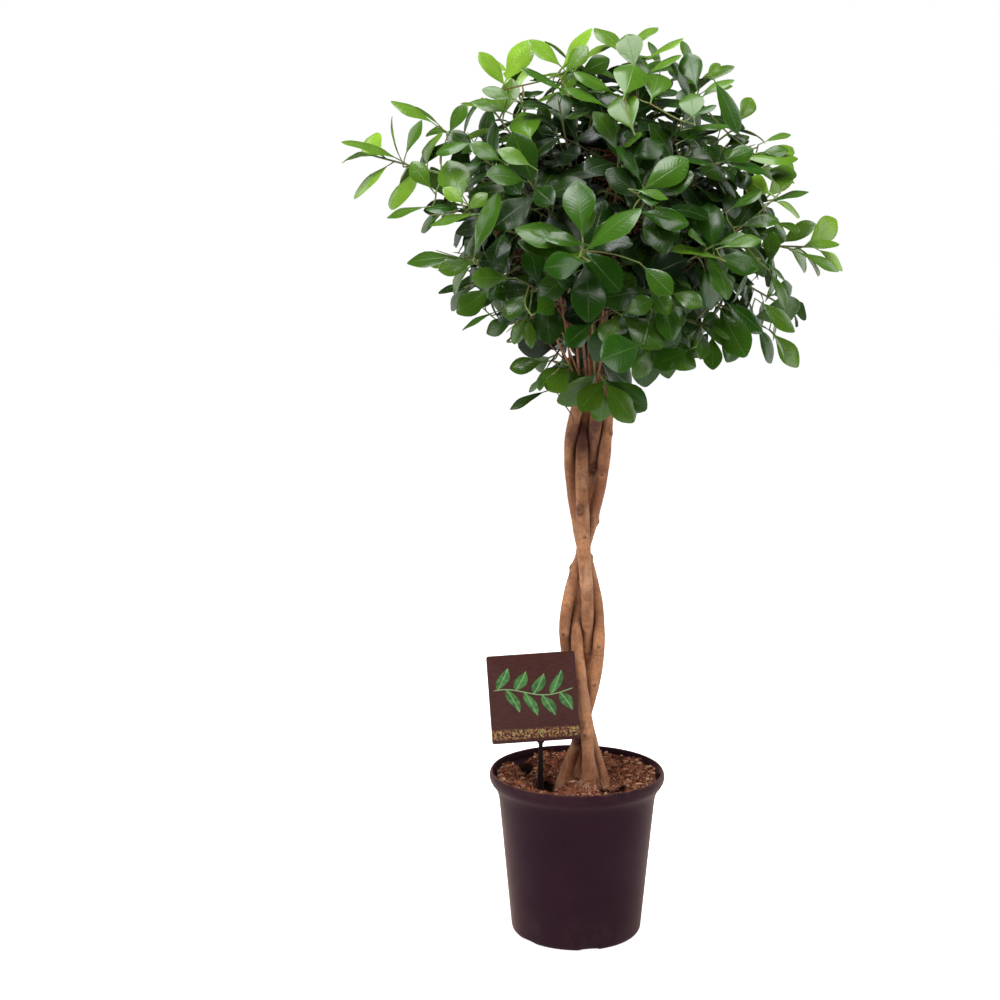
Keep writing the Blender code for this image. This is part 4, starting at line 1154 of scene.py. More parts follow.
class LeafLooks(bpy.types.PropertyGroup):
    mature: colour_property("Mature", "Colour of a full-grown leaf", (0.0190, 0.0740, 0.0040))
    young: colour_property("Young", "Colour of a new leaf", (0.245, 0.445, 0.034))
    under: colour_property("Underside", "Colour of a leaf seen from below", (0.070, 0.125, 0.026))
    midrib: colour_property("Midrib", "Colour of the midrib", (0.130, 0.210, 0.040))
    fold: share_property("Fold", "Rise of the halves of a blade as a share of its half width", 0.32)
    roll: share_property("Roll", "Fall of the margins as a share of the half width", 0.34)
    thickness: length_property("Thickness", "Thickness of a blade", 0.0007)


class WoodLooks(bpy.types.PropertyGroup):
    bark: colour_property("Bark", "Colour of the trunk", (0.490, 0.222, 0.098))
    shade: colour_property("Shade", "Darker bark", (0.165, 0.056, 0.024))
    twig: colour_property("Twig", "Colour of thin branches", (0.150, 0.048, 0.024))
    green: colour_property("Green wood", "Colour of the shoots", (0.130, 0.200, 0.050))
    knob: length_property("Knob", "Height of a leaf scar", 0.0031)
    sides: IntProperty(name="Sides", description="Points round a stem", default=28, min=8)


class PotLooks(bpy.types.PropertyGroup):
    plastic: colour_property("Plastic", "Colour of the pot", (0.0240, 0.0078, 0.0150))
    # Soil rubbed into the rim, also a painted highlight on its top edge
    grime_and_highlight: colour_property("Grime", "Soil rubbed into the rim", (0.120, 0.052, 0.034))
    steps: IntProperty(name="Steps", description="Points round the pot", default=144, min=24)


class SoilLooks(bpy.types.PropertyGroup):
    coir: colour_property("Coir", "Colour of the soil", (0.245, 0.077, 0.041))
    dark: colour_property("Dark", "Colour of its hollows", (0.022, 0.005, 0.004))
    light: colour_property("Light", "Colour of dry fibres and chips", (0.520, 0.290, 0.180))
    chips: IntProperty(name="Chips", description="Bark and coir chips on the surface", default=3200, min=0)
    fibres: IntProperty(name="Fibres", description="Loose fibres on the surface", default=420, min=0)


class TagLooks(bpy.types.PropertyGroup):
    ground: colour_property("Ground", "Colour of the card", (0.040, 0.013, 0.011))
    warm: colour_property("Warm", "Colour of the speckled strip", (0.330, 0.120, 0.050))
    leafy: colour_property("Leafy", "Colour of the printed leaves", (0.070, 0.200, 0.055))
    plastic: colour_property("Plastic", "Colour of the stake", (0.011, 0.006, 0.007))


class StudioLooks(bpy.types.PropertyGroup):
    floor: colour_property("Floor", "Colour of the floor", (0.90, 0.90, 0.90))
    glow: share_property("Glow", "Lift of the floor towards white", 0.935)
    surround: share_property("Surround", "Light from all round", 0.07)
    lamps: FloatProperty(name="Lamps", description="Strength of the soft boxes", min=0.0, default=1.0)
    lens: FloatProperty(name="Lens", description="Focal length", unit="CAMERA", default=CAMERA_LENS)


LOOKS = {
    "ficus_leaves": LeafLooks,
    "ficus_wood": WoodLooks,
    "ficus_pot": PotLooks,
    "ficus_soil": SoilLooks,
    "ficus_tag": TagLooks,
    "ficus_studio": StudioLooks,
}


# Leaves

BLADE_STEPS = (0.05, 0.14, 0.26, 0.39, 0.52, 0.64, 0.75, 0.85, 0.93, 0.985)
PETIOLE_STEPS = (0.0, 0.55)
PETIOLE_HALF = 0.0009
PETIOLE_DEEP = 0.0016
ACROSS = (1.0, 0.5, 0.0, -0.5, -1.0, 0.0)
UPPER = (1.0, 1.0, 1.0, 1.0, 1.0, -1.0)
LEAF_SINK = 0.0012
# A blade thins to its tip, and its margin waves: waves along it and their height in half widths
BLADE_TAPER = (1.25, 0.6)
WAVES = 1.4
WAVE_HEIGHT = 0.055
SHOOT_RINGS = 25
SHOOT_SIDES = 7
LEAF_SWELL = 0.18
FILL_SEED = SEED + 500
SINGLE_SEED = SEED + 900
BUD = 0.006
SLENDER = 0.74
# Tone: where the low dark leaves end, where the bright outer ones start, and the stray of each leaf;
# the outer leaves are lighter as painted light through them, the low ones less
LOW_TONE = (0.78, 0.16)
OUTER_START = 0.60
OUTER_PAINTED_LIGHT = 1.1
OUTER_POWER = 1.4
TONE_STRAY = 0.10
# Painted shade of leaves deep in the crown: how much at its middle, and how fast it falls off outwards
DEEPEST = 1.45
DEPTH_FALL = 1.35
GREEN_TONE = 0.3
BRIGHT_SHOOTS = {18: 0.45, 19: 0.75, 20: 0.55, 25: 0.25, 26: 0.30, 27: 0.55, 28: 0.45, 38: 0.60, 35: 0.30}


def leaf_rings(leaves, looks, draws):
    """Rings (leaf, ring, point, xyz) along every leaf, with how far along, across and under each
    point is. The leaf's middle bends down as an arc. A section is a thin lens whose halves rise from
    the midrib as fold times the breadth and fall as roll times its square, with a slow wave at the
    margin."""
    root, out, up = (np.array([leaf[key][:] for leaf in leaves])[:, None] for key in ("root", "out", "up"))
    length, width, curl = (
        np.array([leaf[key] for leaf in leaves])[:, None] for key in ("length", "width", "curl")
    )
    u = np.concatenate([np.full(len(PETIOLE_STEPS), -1.0), BLADE_STEPS])[None]
    petiole = np.concatenate([PETIOLE_STEPS, np.ones(len(BLADE_STEPS))])[None]
    s = PETIOLE * petiole + length * u.clip(0.0)
    total = PETIOLE + length
    bend = curl * s / total
    reach = total / curl
    middle = root - out * LEAF_SINK + reach[..., None] * (
        np.sin(bend)[..., None] * out - (1 - np.cos(bend))[..., None] * up
    )
    rise = np.cos(bend)[..., None] * up + np.sin(bend)[..., None] * out
    side = np.cross(out, up)
    half = np.where(u < 0, PETIOLE_HALF, np.maximum(PETIOLE_HALF, np.vectorize(outline)(u) * width / 2))
    across = np.array(ACROSS)[None, None]
    upper = np.array(UPPER)[None, None]
    blade = (u.clip(0.0) > 0) * np.ones_like(half)
    thick = looks.thickness * (BLADE_TAPER[0] - BLADE_TAPER[1] * u.clip(0.0))
    thick = np.where(u < 0, PETIOLE_DEEP, thick)
    lens = upper * thick[..., None] / 2 * np.sqrt(1 - across**2)
    fold = looks.fold * (1 + 0.5 * draws[:, 0, None])
    halves = (fold[..., None] * np.abs(across) - looks.roll * across**2) * (half * blade)[..., None]
    wave = np.sin(2 * math.pi * (WAVES * u + draws[:, 1, None])) * WAVE_HEIGHT * half * blade
    height = lens + halves + wave[..., None] * across * np.abs(across)
    ring = middle[:, :, None] + (across * half[..., None])[..., None] * side[:, :, None]
    ring = ring + height[..., None] * rise[:, :, None]
    shape = height.shape
    return ring, np.broadcast_to(u[..., None], shape), np.broadcast_to(across, shape)


def leaf_slots(count):
    """Finish of every face of the leaves: 0 above, 1 below, 2 on the petiole."""
    rows, sides = len(PETIOLE_STEPS) + len(BLADE_STEPS) - 1, len(ACROSS)
    quads = np.zeros((rows, sides), dtype=int)
    quads[:, 4:] = 1
    quads[: len(PETIOLE_STEPS) - 1] = 2
    caps = np.zeros((2, sides), dtype=int)
    caps[1, 4:] = 1
    caps[0] = 2
    return np.tile(quads.ravel(), count), np.tile(caps.ravel(), count)


def shoot_rings(sprays):
    """Rings along every green shoot: straight, thicker under each leaf and drawn out into a bud."""
    steps = np.linspace(0, 1, SHOOT_RINGS)
    start, end = (np.array([spray["points"][k][:] for spray in sprays])[:, None, None] for k in (0, -1))
    foot, tip = (
        np.array([spray["radii"][k] for spray in sprays])[:, None, None, None] * SLENDER for k in (0, -1)
    )
    way = end - start
    length = np.linalg.norm(way, axis=-1, keepdims=True)
    way = way / length
    t = np.concatenate([steps, [1.0, 1.0]])[None, :, None, None]
    extra = np.concatenate([np.zeros(len(steps)), [BUD * 0.45, BUD]])[None, :, None, None]
    swell = np.cos(2 * math.pi * ((1 - t) * length - LEAF_START) / LEAF_SPACING).clip(0.0) ** 4
    width = (foot + (tip - foot) * t) * (1 + LEAF_SWELL * swell)
    width = width * np.where(extra > 0, np.where(extra < BUD, 0.85, 0.15), 1.0)
    spare = np.where(np.abs(way[..., 2:]) < 0.8, [0.0, 0.0, 1.0], [1.0, 0.0, 0.0])
    side = unit(np.cross(way, spare))
    other = np.cross(way, side)
    turn = (np.arange(SHOOT_SIDES) * 2 * math.pi / SHOOT_SIDES)[None, None, :, None]
    return start + way * (t * length + extra) + width * (np.cos(turn) * side + np.sin(turn) * other)


def spray_skin(sprays, looks, seed):
    """Points, faces, values and finishes of several shoots with their leaves and petioles."""
    leaves, tones, painted_shades = [], [], []
    for spray in sprays:
        number = int(spray["name"].split("_")[-1])
        bright = BRIGHT_SHOOTS.get(number, 0.0)
        for k, leaf in enumerate(spray["leaves"]):
            newest = max(0.0, 1 - k / 3) if number < FILL_NUMBER else 0.25 * max(0.0, 1 - k / 2)
            middle = leaf["root"] + leaf["out"] * 0.03
            place = (np.array(middle) - CROWN_MIDDLE) / OUTER_REACH
            edge = max(0.0, math.hypot(place[0], place[2]) - OUTER_START) * OUTER_PAINTED_LIGHT
            low = min(max((middle.z - LOW_TONE[0]) / LOW_TONE[1], 0.25), 1.0)
            # Painted shade: darker deeper in the crown and in its hollows
            depth = DEEPEST - np.linalg.norm(place) * DEPTH_FALL + in_hollow(middle) * HOLLOW_SHADE
            # New leaves and bright shoots are lighter; the outer leaves get painted light through them
            tone = 0.02 + 0.10 * newest + low * edge**OUTER_POWER + bright * (1 - 0.08 * k)
            tones.append(leaf.get("tone", tone))
            painted_shades.append(0.0 if "tone" in leaf else depth)
            leaves.append(leaf)
    draws = np.random.default_rng(seed).uniform(-1, 1, (len(leaves), 3))
    tones = (np.array(tones) + TONE_STRAY * draws[:, 2]).clip(0.0, 0.85)
    ring, along, across = leaf_rings(leaves, looks, draws)
    values = dict(along=at_points(along), across=at_points(across))
    chances = draws[:, 0] / 2 + 0.5
    for label, numbers in (("tone", tones), ("depth", np.clip(painted_shades, 0.0, 1.0)), ("chance", chances)):
        values[label] = at_points(numbers[:, None, None] * np.ones(across.shape))
    leafy = (*tubes(ring), values)
    slots = leaf_slots(len(leaves))
    if "points" not in sprays[0]:
        return (*leafy, np.concatenate(slots))
    green = tubes(shoot_rings(sprays))
    blank = np.zeros(len(green[0]))
    slots = [slots[0], np.full(len(green[1]), 2), slots[1], np.full(len(green[2]), 2)]
    green_values = {**dict.fromkeys(values, blank), "tone": blank + GREEN_TONE}
    return (*joined_skin([leafy, (*green, green_values)]), np.concatenate(slots))


def blade_finish(name, looks, under):
    """Leathery and glossy above, paler and dull below: the tone of a leaf runs from mature to young and
    holds painted light on the outer leaves, clouds of it vary, painted shade darkens the leaves deep in
    the crown and in its hollows, and the midrib, side veins and margin are paler."""
    gloss = 0.55 if under else 0.20
    made, paint, shader = finish(name, looks.mature, gloss, 0.12 if under else 0.30)
    dull = paint.times(paint.attribute("chance"), 0.45)
    old = paint.mix(dull, looks.mature, [c * 0.62 for c in looks.mature])
    colour = paint.mix(paint.attribute("tone"), old, looks.young)
    if under:
        colour = paint.mix(0.60, colour, looks.under)
    cloud = paint.use(MOTTLE, Place=paint.place(), Coarse=32.0, Fine=130.0, Amount=1.0)
    colour = paint.mix(paint.times(cloud["Mask"], 0.22), colour, (0.0, 0.02, 0.0))
    depth = paint.attribute("depth")
    # Painted shade on the leaves deep in the crown and in its hollows
    colour = paint.mix(paint.times(depth, 0.96), colour, (0.0015, 0.0085, 0.001))
    veins = paint.use(VEINS)
    for part, share in (("Veins", 0.06), ("Rim", 0.15), ("Midrib", 0.26)):
        colour = paint.mix(paint.times(veins[part], share), colour, looks.midrib)
    rough = paint.scaled(depth, 0.12, paint.scaled(cloud["Height"], 0.16, gloss - 0.08))
    ribs = paint.scaled(veins["Veins"], 0.30, paint.times(veins["Midrib"], 0.9))
    height = paint.scaled(ribs, 1.0 if under else -1.0, paint.times(cloud["Height"], 0.03))
    paint.feed(shader, colour, rough, height, 0.45, 0.0005)
    return made


def green_wood_finish(looks):
    """Smooth green bark of the shoots, buds and petioles, browner in clouds."""
    made, paint, shader = finish("green_shoot", looks.green, 0.5, 0.5)
    inks = dict(Light=looks.green, Dark=looks.twig)
    cloud = paint.use(MOTTLE, Place=paint.place(), **inks, Coarse=60.0, Fine=500.0, Amount=0.6)
    paint.feed(shader, cloud["Color"], None, cloud["Height"], 0.3, 0.0004)
    return made


def leaf_finishes(scene):
    """The finishes above, below and on the petiole, made at the first call."""
    if "leaf_upper" not in bpy.data.materials:
        blade_finish("leaf_upper", scene.ficus_leaves, False)
        blade_finish("leaf_under", scene.ficus_leaves, True)
        green_wood_finish(scene.ficus_wood)
    return [bpy.data.materials[name] for name in ("leaf_upper", "leaf_under", "green_shoot")]


def settle(piece, slot, *nodes):
    """Rides on the plant and stands for its solids. The slot is not used."""
    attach(piece, "root")
    if nodes:
        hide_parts(*nodes)


class FICUS_OT_sprays(bpy.types.Operator):
    """Leafy shoots that stand for the solid ones, leaf by leaf"""

    bl_idname = "ficus.sprays"
    bl_label = "Leafy shoots"

    def execute(self, context):
        finishes = leaf_finishes(context.scene)
        for number, spray in enumerate(SPRAYS, start=1):
            leafy = spray_skin([spray], context.scene.ficus_leaves, SEED + number)
            settle(skin(f"leafy_shoot_{number:02d}", *leafy, finishes), "leaf", spray["name"])
        return {"FINISHED"}


class FICUS_OT_fill(bpy.types.Operator):
    """Leaves and thin twigs that fill the crown"""

    bl_idname = "ficus.fill"
    bl_label = "Inner leaves"

    def execute(self, context):
        looks = context.scene.ficus_leaves
        finishes = leaf_finishes(context.scene)
        for k in range(0, len(FILL), FILL_GROUP):
            leafy = spray_skin(FILL[k : k + FILL_GROUP], looks, FILL_SEED + k)
            settle(skin(f"inner_leaves_{k // FILL_GROUP + 1}", *leafy, finishes), "leaf")
        settle(skin("single_leaves", *spray_skin(SINGLES, looks, SINGLE_SEED), finishes), "leaf")
        return {"FINISHED"}


# Wood

# Leaf scars: stem, height and place across its front in radii
KNOBS = (
    ("stem_4", 0.653, 0.58),
    ("stem_4", 0.602, -0.09),
    ("stem_4", 0.542, 0.83),
    ("stem_4", 0.483, -0.95),
    ("stem_4", 0.396, -0.21),
    ("stem_2", 0.526, 0.16),
    ("stem_2", 0.560, -0.50),
    ("stem_1", 0.494, 0.90),
    ("stem_1", 0.380, -0.07),
    ("stem_1", 0.331, 0.06),
    ("stem_1", 0.248, 0.65),
    ("stem_3", 0.270, -0.30),
    ("stem_3", 0.610, 0.40),
)
# Painted shade on the bark as dark patches: across and down in the view, depth and reach
BARK_SHADE_PATCHES = (
    (579, 511, -0.030, 0.009), (582, 438, -0.007, 0.021),
    (594, 470, 0.001, 0.010), (597, 424, -0.015, 0.010), (577, 742, -0.016, 0.007),
)
KNOB_REACH = 0.0037
FULLER = 0.10
RING_STEP = 0.0230
LIMB_RING_STEP = 0.014
NODE_WIDTH = 0.0011
NODE_SWELL = 0.022
LIMB_SWELL = 0.10
TRUNK_STEPS = 230
SMOOTH_OVER = 11
LEADER_STEPS = 40
LEAD_IN = 12
# Buttresses at the foot: top, height over which they fade in, and swell
BUTTRESS_TOP = 0.245
BUTTRESS_FADE = 0.05
BUTTRESS = 0.13
# Rings between two points of a limb or branch, points round it, and how slim it starts
LIMB_MESH = (14, 12, 1.0)
BRANCH_MESH = (9, 8, 0.88)
TWIG_MESH = (7, 6)
CREVICE_LEVELS = 160
CREVICE_REACH = 0.0062
DRY_BARK = (0.62, 0.40, 0.25)
RED_BARK = (0.250, 0.080, 0.036)
PAINTED_SHADE_BARK = (0.060, 0.014, 0.007)
CREVICE_SHADE_BARK = (0.058, 0.011, 0.005)
SCAR_BARK = (0.085, 0.030, 0.018)
LENTICEL = (0.52, 0.33, 0.19)


def crevices(name, ring):
    """How near each point of a stem is to the other stems: falls as an exponential of the clearance
    to their round sections at the same height. The bark is painted darker there as shade."""
    near = np.zeros(ring.shape[:2])
    heights = ring[..., 2].ravel()
    levels = np.linspace(STEM_FOOT, STEM_HEAD, CREVICE_LEVELS)
    for other, stem in STEMS.items():
        if other == name:
            continue
        rows = np.array([(*stem_place(stem, z)[:2], stem_radius(stem, z)) for z in levels.tolist()])
        x, y, radius = (np.interp(heights, levels, rows[:, k]).reshape(near.shape) for k in range(3))
        clear = np.hypot(ring[..., 0] - x, ring[..., 1] - y) - radius
        near = np.maximum(near, np.exp(-clear.clip(0.0) / CREVICE_REACH))
    return near * (ring[..., 2] < STEM_HEAD)


def trunk_rings(name, looks):
    """Rings up one stem and its leader. The middle follows the braid, smoothed over 25 mm. The radius
    carries slow ridges that wind round it, a raised ring at each old node and a knob at each scar."""
    stem = STEMS[name]
    heights = np.linspace(STEM_FOOT, STEM_HEAD, TRUNK_STEPS)
    rows = np.array([(*stem_place(stem, z), stem_radius(stem, z)) for z in heights.tolist()])
    radii = taper(LEADER_RADII, LEADER_POINTS)
    leader = [(*point, radius) for point, radius in zip(STEM_GROWTH[name]["leader"], radii)]
    leader[0] = tuple(rows[-1])
    ahead = curve_through([tuple(rows[-LEAD_IN])] + leader, LEADER_STEPS)[LEADER_STEPS + 1 :]
    rows = np.concatenate([rows, ahead])
    spare = SMOOTH_OVER // 2
    padded = np.concatenate([np.repeat(rows[:1], spare, 0), rows, np.repeat(rows[-1:], spare, 0)])
    even = np.full(SMOOTH_OVER, 1 / SMOOTH_OVER)
    smooth = np.stack([np.convolve(padded[:, k], even, "valid") for k in range(4)], axis=1)
    smooth[0], smooth[-1] = rows[0], rows[-1]
    path, radius = smooth[:, :3], smooth[:, 3]
    rise = run_of(path)
    seed = list(STEMS).index(name) * 1.7
    a, s = (np.arange(looks.sides) * 2 * math.pi / looks.sides)[None], rise[:, None]
    ridges = 0.030 * np.sin(3 * a + 24 * s + seed) + 0.018 * np.sin(5 * a - 61 * s + 2 * seed)
    ridges += 0.020 * np.sin(2 * a + 147 * s + 3 * seed) + 0.012 * np.sin(130 * s + seed)
    off = (s + seed * 0.01) % RING_STEP - RING_STEP / 2
    nodes = NODE_SWELL * np.exp(-(off**2) / (2 * NODE_WIDTH**2))
    foot = np.clip((BUTTRESS_TOP - path[:, 2]) / BUTTRESS_FADE, 0, 1)[:, None] ** 1.5
    buttress = BUTTRESS * foot * (np.cos(5 * a + 2 * seed) + 0.5 * np.cos(3 * a + seed))
    fuller = 1 + FULLER * np.sin(2 * math.pi * np.clip((path[:, 2] - 0.2) / 0.6, 0, 1))[:, None] ** 2
    wide = radius[:, None] * (1 + ridges + nodes + buttress) * fuller
    ring = rings_along(path, wide, looks.sides)
    scar = np.zeros_like(wide)
    for owner, height, across in KNOBS:
        if owner == name:
            centre = stem_place(stem, height)
            girth = stem_radius(stem, height)
            spot = np.array([centre.x + girth * across, centre.y - girth * math.sqrt(1 - across**2), height])
            near = np.exp(-((ring - spot) ** 2).sum(axis=-1) / (2 * KNOB_REACH**2))
            scar = np.maximum(scar, near)
    return rings_along(path, wide + looks.knob * scar, looks.sides), rise, scar


def limb_rings(points, radii, steps, sides):
    """Rings along a limb or branch through its points, with a slight ring at each node."""
    rows = curve_through([(*point, radius) for point, radius in zip(points, radii)], steps)
    rise = run_of(rows[:, :3])
    off = rise % LIMB_RING_STEP - LIMB_RING_STEP / 2
    nodes = LIMB_SWELL * np.exp(-(off**2) / (2 * NODE_WIDTH**2))
    return rings_along(rows[:, :3], rows[:, 3] * (1 + nodes), sides), rise


def wood_part(ring, rise, youth, scar=0.0, crevice=0.0):
    """A closed tube of wood with numbers at its points: how far up, how young (0 trunk, 1 shoot), scars
    and painted shade in crevices."""
    whole = np.ones((1, *ring.shape[:2]))
    numbers = dict(rise=rise[:, None], youth=np.atleast_1d(youth)[:, None], scar=scar, crevice=crevice)
    return (*tubes(ring[None]), {label: at_points(whole * number) for label, number in numbers.items()})


def stem_skin(name, looks):
    """One stem with its leader, limbs and branches."""
    ring, rise, scar = trunk_rings(name, looks)
    # Bark turns younger with height, which also darkens it under the crown as painted shade
    youth = np.clip((ring.mean(axis=1)[:, 2] - 0.60) / 0.45, 0, 1) * 0.75
    parts = [wood_part(ring, rise, youth, scar, crevices(name, ring))]
    for points, radii in STEM_GROWTH[name]["pipes"]:
        thick = radii[0] > BRANCH_RADII[0]
        steps, sides, slim = LIMB_MESH if thick else BRANCH_MESH
        ring, rise = limb_rings(points, np.linspace(slim, SLENDER, len(radii)) * radii, steps, sides)
        share = rise / rise[-1]
        parts.append(wood_part(ring, rise, 0.45 + 0.25 * share if thick else 0.60 + 0.40 * share))
    return joined_skin(parts)


def bark_finish(looks):
    """Pale bark with clouds, long fine wrinkles, cross-wise lenticels, dark node lines and scars, going
    over to red-brown and then green in the young wood. Painted shade darkens it towards the crown, in
    dark patches and between the stems; it is also darker towards the foot."""
    made, paint, shader = finish("ficus_bark", looks.bark, 0.72, 0.35)
    place = paint.place()
    high = paint.height(place)
    youth, scar = paint.attribute("youth"), paint.attribute("scar")
    inks = dict(Light=looks.bark, Dark=looks.shade)
    cloud = paint.use(MOTTLE, Place=place, **inks, Coarse=38.0, Fine=240.0, Amount=0.72)
    streak = paint.noise(paint.place((1.0, 1.0, 0.16)), 330.0, 4.0, 0.6)
    broad = paint.noise(paint.place((1.0, 1.0, 0.20)), 85.0, 3.0, 0.6)
    dry = paint.noise(paint.place((1.0, 1.0, 0.35)), 60.0, 4.0, 0.65)
    # The bark's own streaks, dry and red bark, then painted shade under the crown, and darker at the foot
    colour = paint.over(
        cloud["Color"],
        (looks.shade, streak, 0.50, 0.78, 0.0, 0.42),
        (looks.shade, broad, 0.50, 0.72, 0.0, 0.55),
        (DRY_BARK, dry, 0.48, 0.72, 0.0, 0.40),
        (RED_BARK, paint.noise(place, 15.0), 0.50, 0.68, 0.0, 0.62),
        (looks.shade, high, 0.46, 0.70, 0.0, 0.24),
        (looks.shade, high, 0.22, 0.38, 0.22, 0.0),
    )
    # Painted shade in dark patches
    for x, y, deep, reach in BARK_SHADE_PATCHES:
        away = paint.distance(place, in_view(x, y, deep))
        ragged = paint.scaled(paint.noise(place, 120.0), reach, away)
        colour = paint.over(colour, (PAINTED_SHADE_BARK, ragged, reach * 0.9, reach * 1.8, 0.90, 0.0))
    # Painted shade between the stems, spread wider near the foot
    first = paint.ramp(high, 0.24, 0.34, 0.0, 0.18)
    full = paint.ramp(high, 0.24, 0.34, 0.60, 0.95)
    close = paint.times(paint.ramp(paint.attribute("crevice"), first, full), 0.94)
    colour = paint.mix(close, colour, CREVICE_SHADE_BARK)
    dots = paint.add("TexVoronoi", {"Vector": paint.place((1.0, 1.0, 3.2)), "Scale": 270.0})["Distance"]
    patch = paint.ramp(paint.noise(place, 80.0, 2.0), 0.45, 0.60)
    lenticel = paint.times(paint.ramp(dots, 0.10, 0.26, 1.0, 0.0), patch)
    colour = paint.mix(paint.times(lenticel, 0.55), colour, LENTICEL)
    wavy = paint.scaled(paint.noise(place, 110.0), 0.006, paint.attribute("rise"))
    step = paint.math("PINGPONG", wavy, RING_STEP / 2)
    line = paint.ramp(step, RING_STEP / 2 - 0.0012, RING_STEP / 2 - 0.0002)
    line = paint.times(line, paint.ramp(paint.noise(place, 24.0, 2.0), 0.48, 0.62))
    colour = paint.mix(paint.times(line, 0.22), colour, looks.shade)
    twig = paint.over(looks.twig, (looks.shade, paint.noise(place, 70.0), 0.4, 0.7, 0.0, 0.6))
    colour = paint.over(
        colour,
        (looks.bark, scar, 0.20, 0.55, 0.0, 0.25),
        (SCAR_BARK, scar, 0.70, 0.97, 0.0, 0.80),
        (twig, youth, 0.05, 0.55),
        (looks.green, youth, 0.72, 1.0),
    )
    height = paint.scaled(streak, 0.9, paint.times(cloud["Height"], 0.7))
    height = paint.scaled(lenticel, 0.6, paint.scaled(line, -0.5, height))
    paint.feed(shader, colour, paint.scaled(cloud["Height"], 0.25, 0.55), height, 0.75, 0.0009)
    return made


# Stalks that rise from the top of the trunk in front of the limbs: foot and tip in the view, how far
# forward the tip is, radius, youth and painted shade
STALKS = (
    (572, 388, 560, 292, -0.125, 0.0017, 0.20, 0.50), (578, 396, 545, 316, -0.112, 0.0018, 0.20, 0.40),
    (580, 400, 573, 298, -0.135, 0.0021, 0.15, 0.60), (584, 402, 551, 304, -0.120, 0.0015, 0.25, 0.45),
    (587, 398, 578, 290, -0.140, 0.0026, 0.10, 0.55), (595, 400, 591, 288, -0.140, 0.0023, 0.88, 0.00),
    (599, 392, 604, 296, -0.150, 0.0019, 0.15, 0.50), (596, 396, 613, 316, -0.150, 0.0014, 0.30, 0.45),
    (569, 380, 537, 330, -0.100, 0.0012, 0.40, 0.40), (576, 368, 541, 320, -0.118, 0.0013, 0.30, 0.30),
    (590, 404, 586, 300, -0.120, 0.0016, 0.15, 0.65), (573, 432, 556, 391, -0.060, 0.0010, 0.30, 0.70),
)
STALK_FOOT = -0.012
STALK_BEND = -0.029
STALK_RISE = 14
STALK_BOW = (0.0, -0.003, 0.0)
FILL_TWIG = (0.0017, 0.0013)
OLDEST_TWIG = 0.98


class FICUS_OT_wood(bpy.types.Operator):
    """Four braided stems with their leaders, limbs and branches, and the thin twigs and stalks"""

    bl_idname = "ficus.wood"
    bl_label = "Braided stems"

    def execute(self, context):
        looks = context.scene.ficus_wood
        bark = [bark_finish(looks)]
        for name in STEMS:
            settle(skin(f"braided_{name}", *stem_skin(name, looks), finishes=bark), "bark", name)
        parts = []
        for twigs, thick, young in ((FILL, FILL_TWIG, 0.55), (SINGLES, SINGLE_TWIG, 0.82)):
            for twig in twigs:
                ring, rise = limb_rings(twig["twig"], taper(thick, len(twig["twig"])), *TWIG_MESH)
                parts.append(wood_part(ring, rise, young + (OLDEST_TWIG - young) * rise / rise[-1]))
        for x, y, high_x, high_y, forward, radius, youth, shade in STALKS:
            foot, bend = in_view(x, y, STALK_FOOT), in_view(x, y - STALK_RISE, STALK_BEND)
            tip = in_view(high_x, high_y, forward)
            middle = bend * 0.5 + tip * 0.5 + Vector(STALK_BOW)
            path = curve_through([place[:] for place in (foot, bend, middle, tip)], 6)
            ring = rings_along(path, np.linspace(radius, radius * 0.6, len(path)), 7)
            parts.append(wood_part(ring, run_of(path), youth, crevice=shade))
        settle(skin("thin_twigs", *joined_skin(parts), finishes=bark), "bark")
        return {"FINISHED"}


# Pot

COLLAR_POWER = 4.5
LIP_BULGE = 0.0026
POT_CREASE = 35
SHEEN = (1.0, 0.60, 0.46)
FILM = (0.16, 0.10, 0.075)
SCRATCH = (0.20, 0.15, 0.14)
NICK = (0.004, 0.001, 0.002)
# Places of the nicks in the collar
NICKS = ((-0.088, -0.052, 0.176), (0.088, -0.052, 0.163), (-0.020, -0.098, 0.150))


def collar_radius(z):
    """Outside radius: the straight taper, with a flare that grows as a power over the collar."""
    flare = np.clip((z - COLLAR_START) / (LIP_HEIGHT - COLLAR_START), 0.0, 1.0)
    return WALL_RADIUS_AT_FOOT + WALL_SLOPE * (z - FOOT_ROUNDING) + COLLAR_FLARE * flare**COLLAR_POWER


def floor_corner():
    """Radius at which the pot's floor turns up into its wall."""
    return collar_radius(POT_FLOOR) - POT_WALL - CORNER_ROUNDING


def arc(centre, radius, start, end, count):
    """Points on an arc in the XZ plane, between two angles in degrees."""
    turn = np.radians(np.linspace(start, end, count))
    return np.stack([centre[0] + radius * np.cos(turn), centre[1] + radius * np.sin(turn)], axis=1)


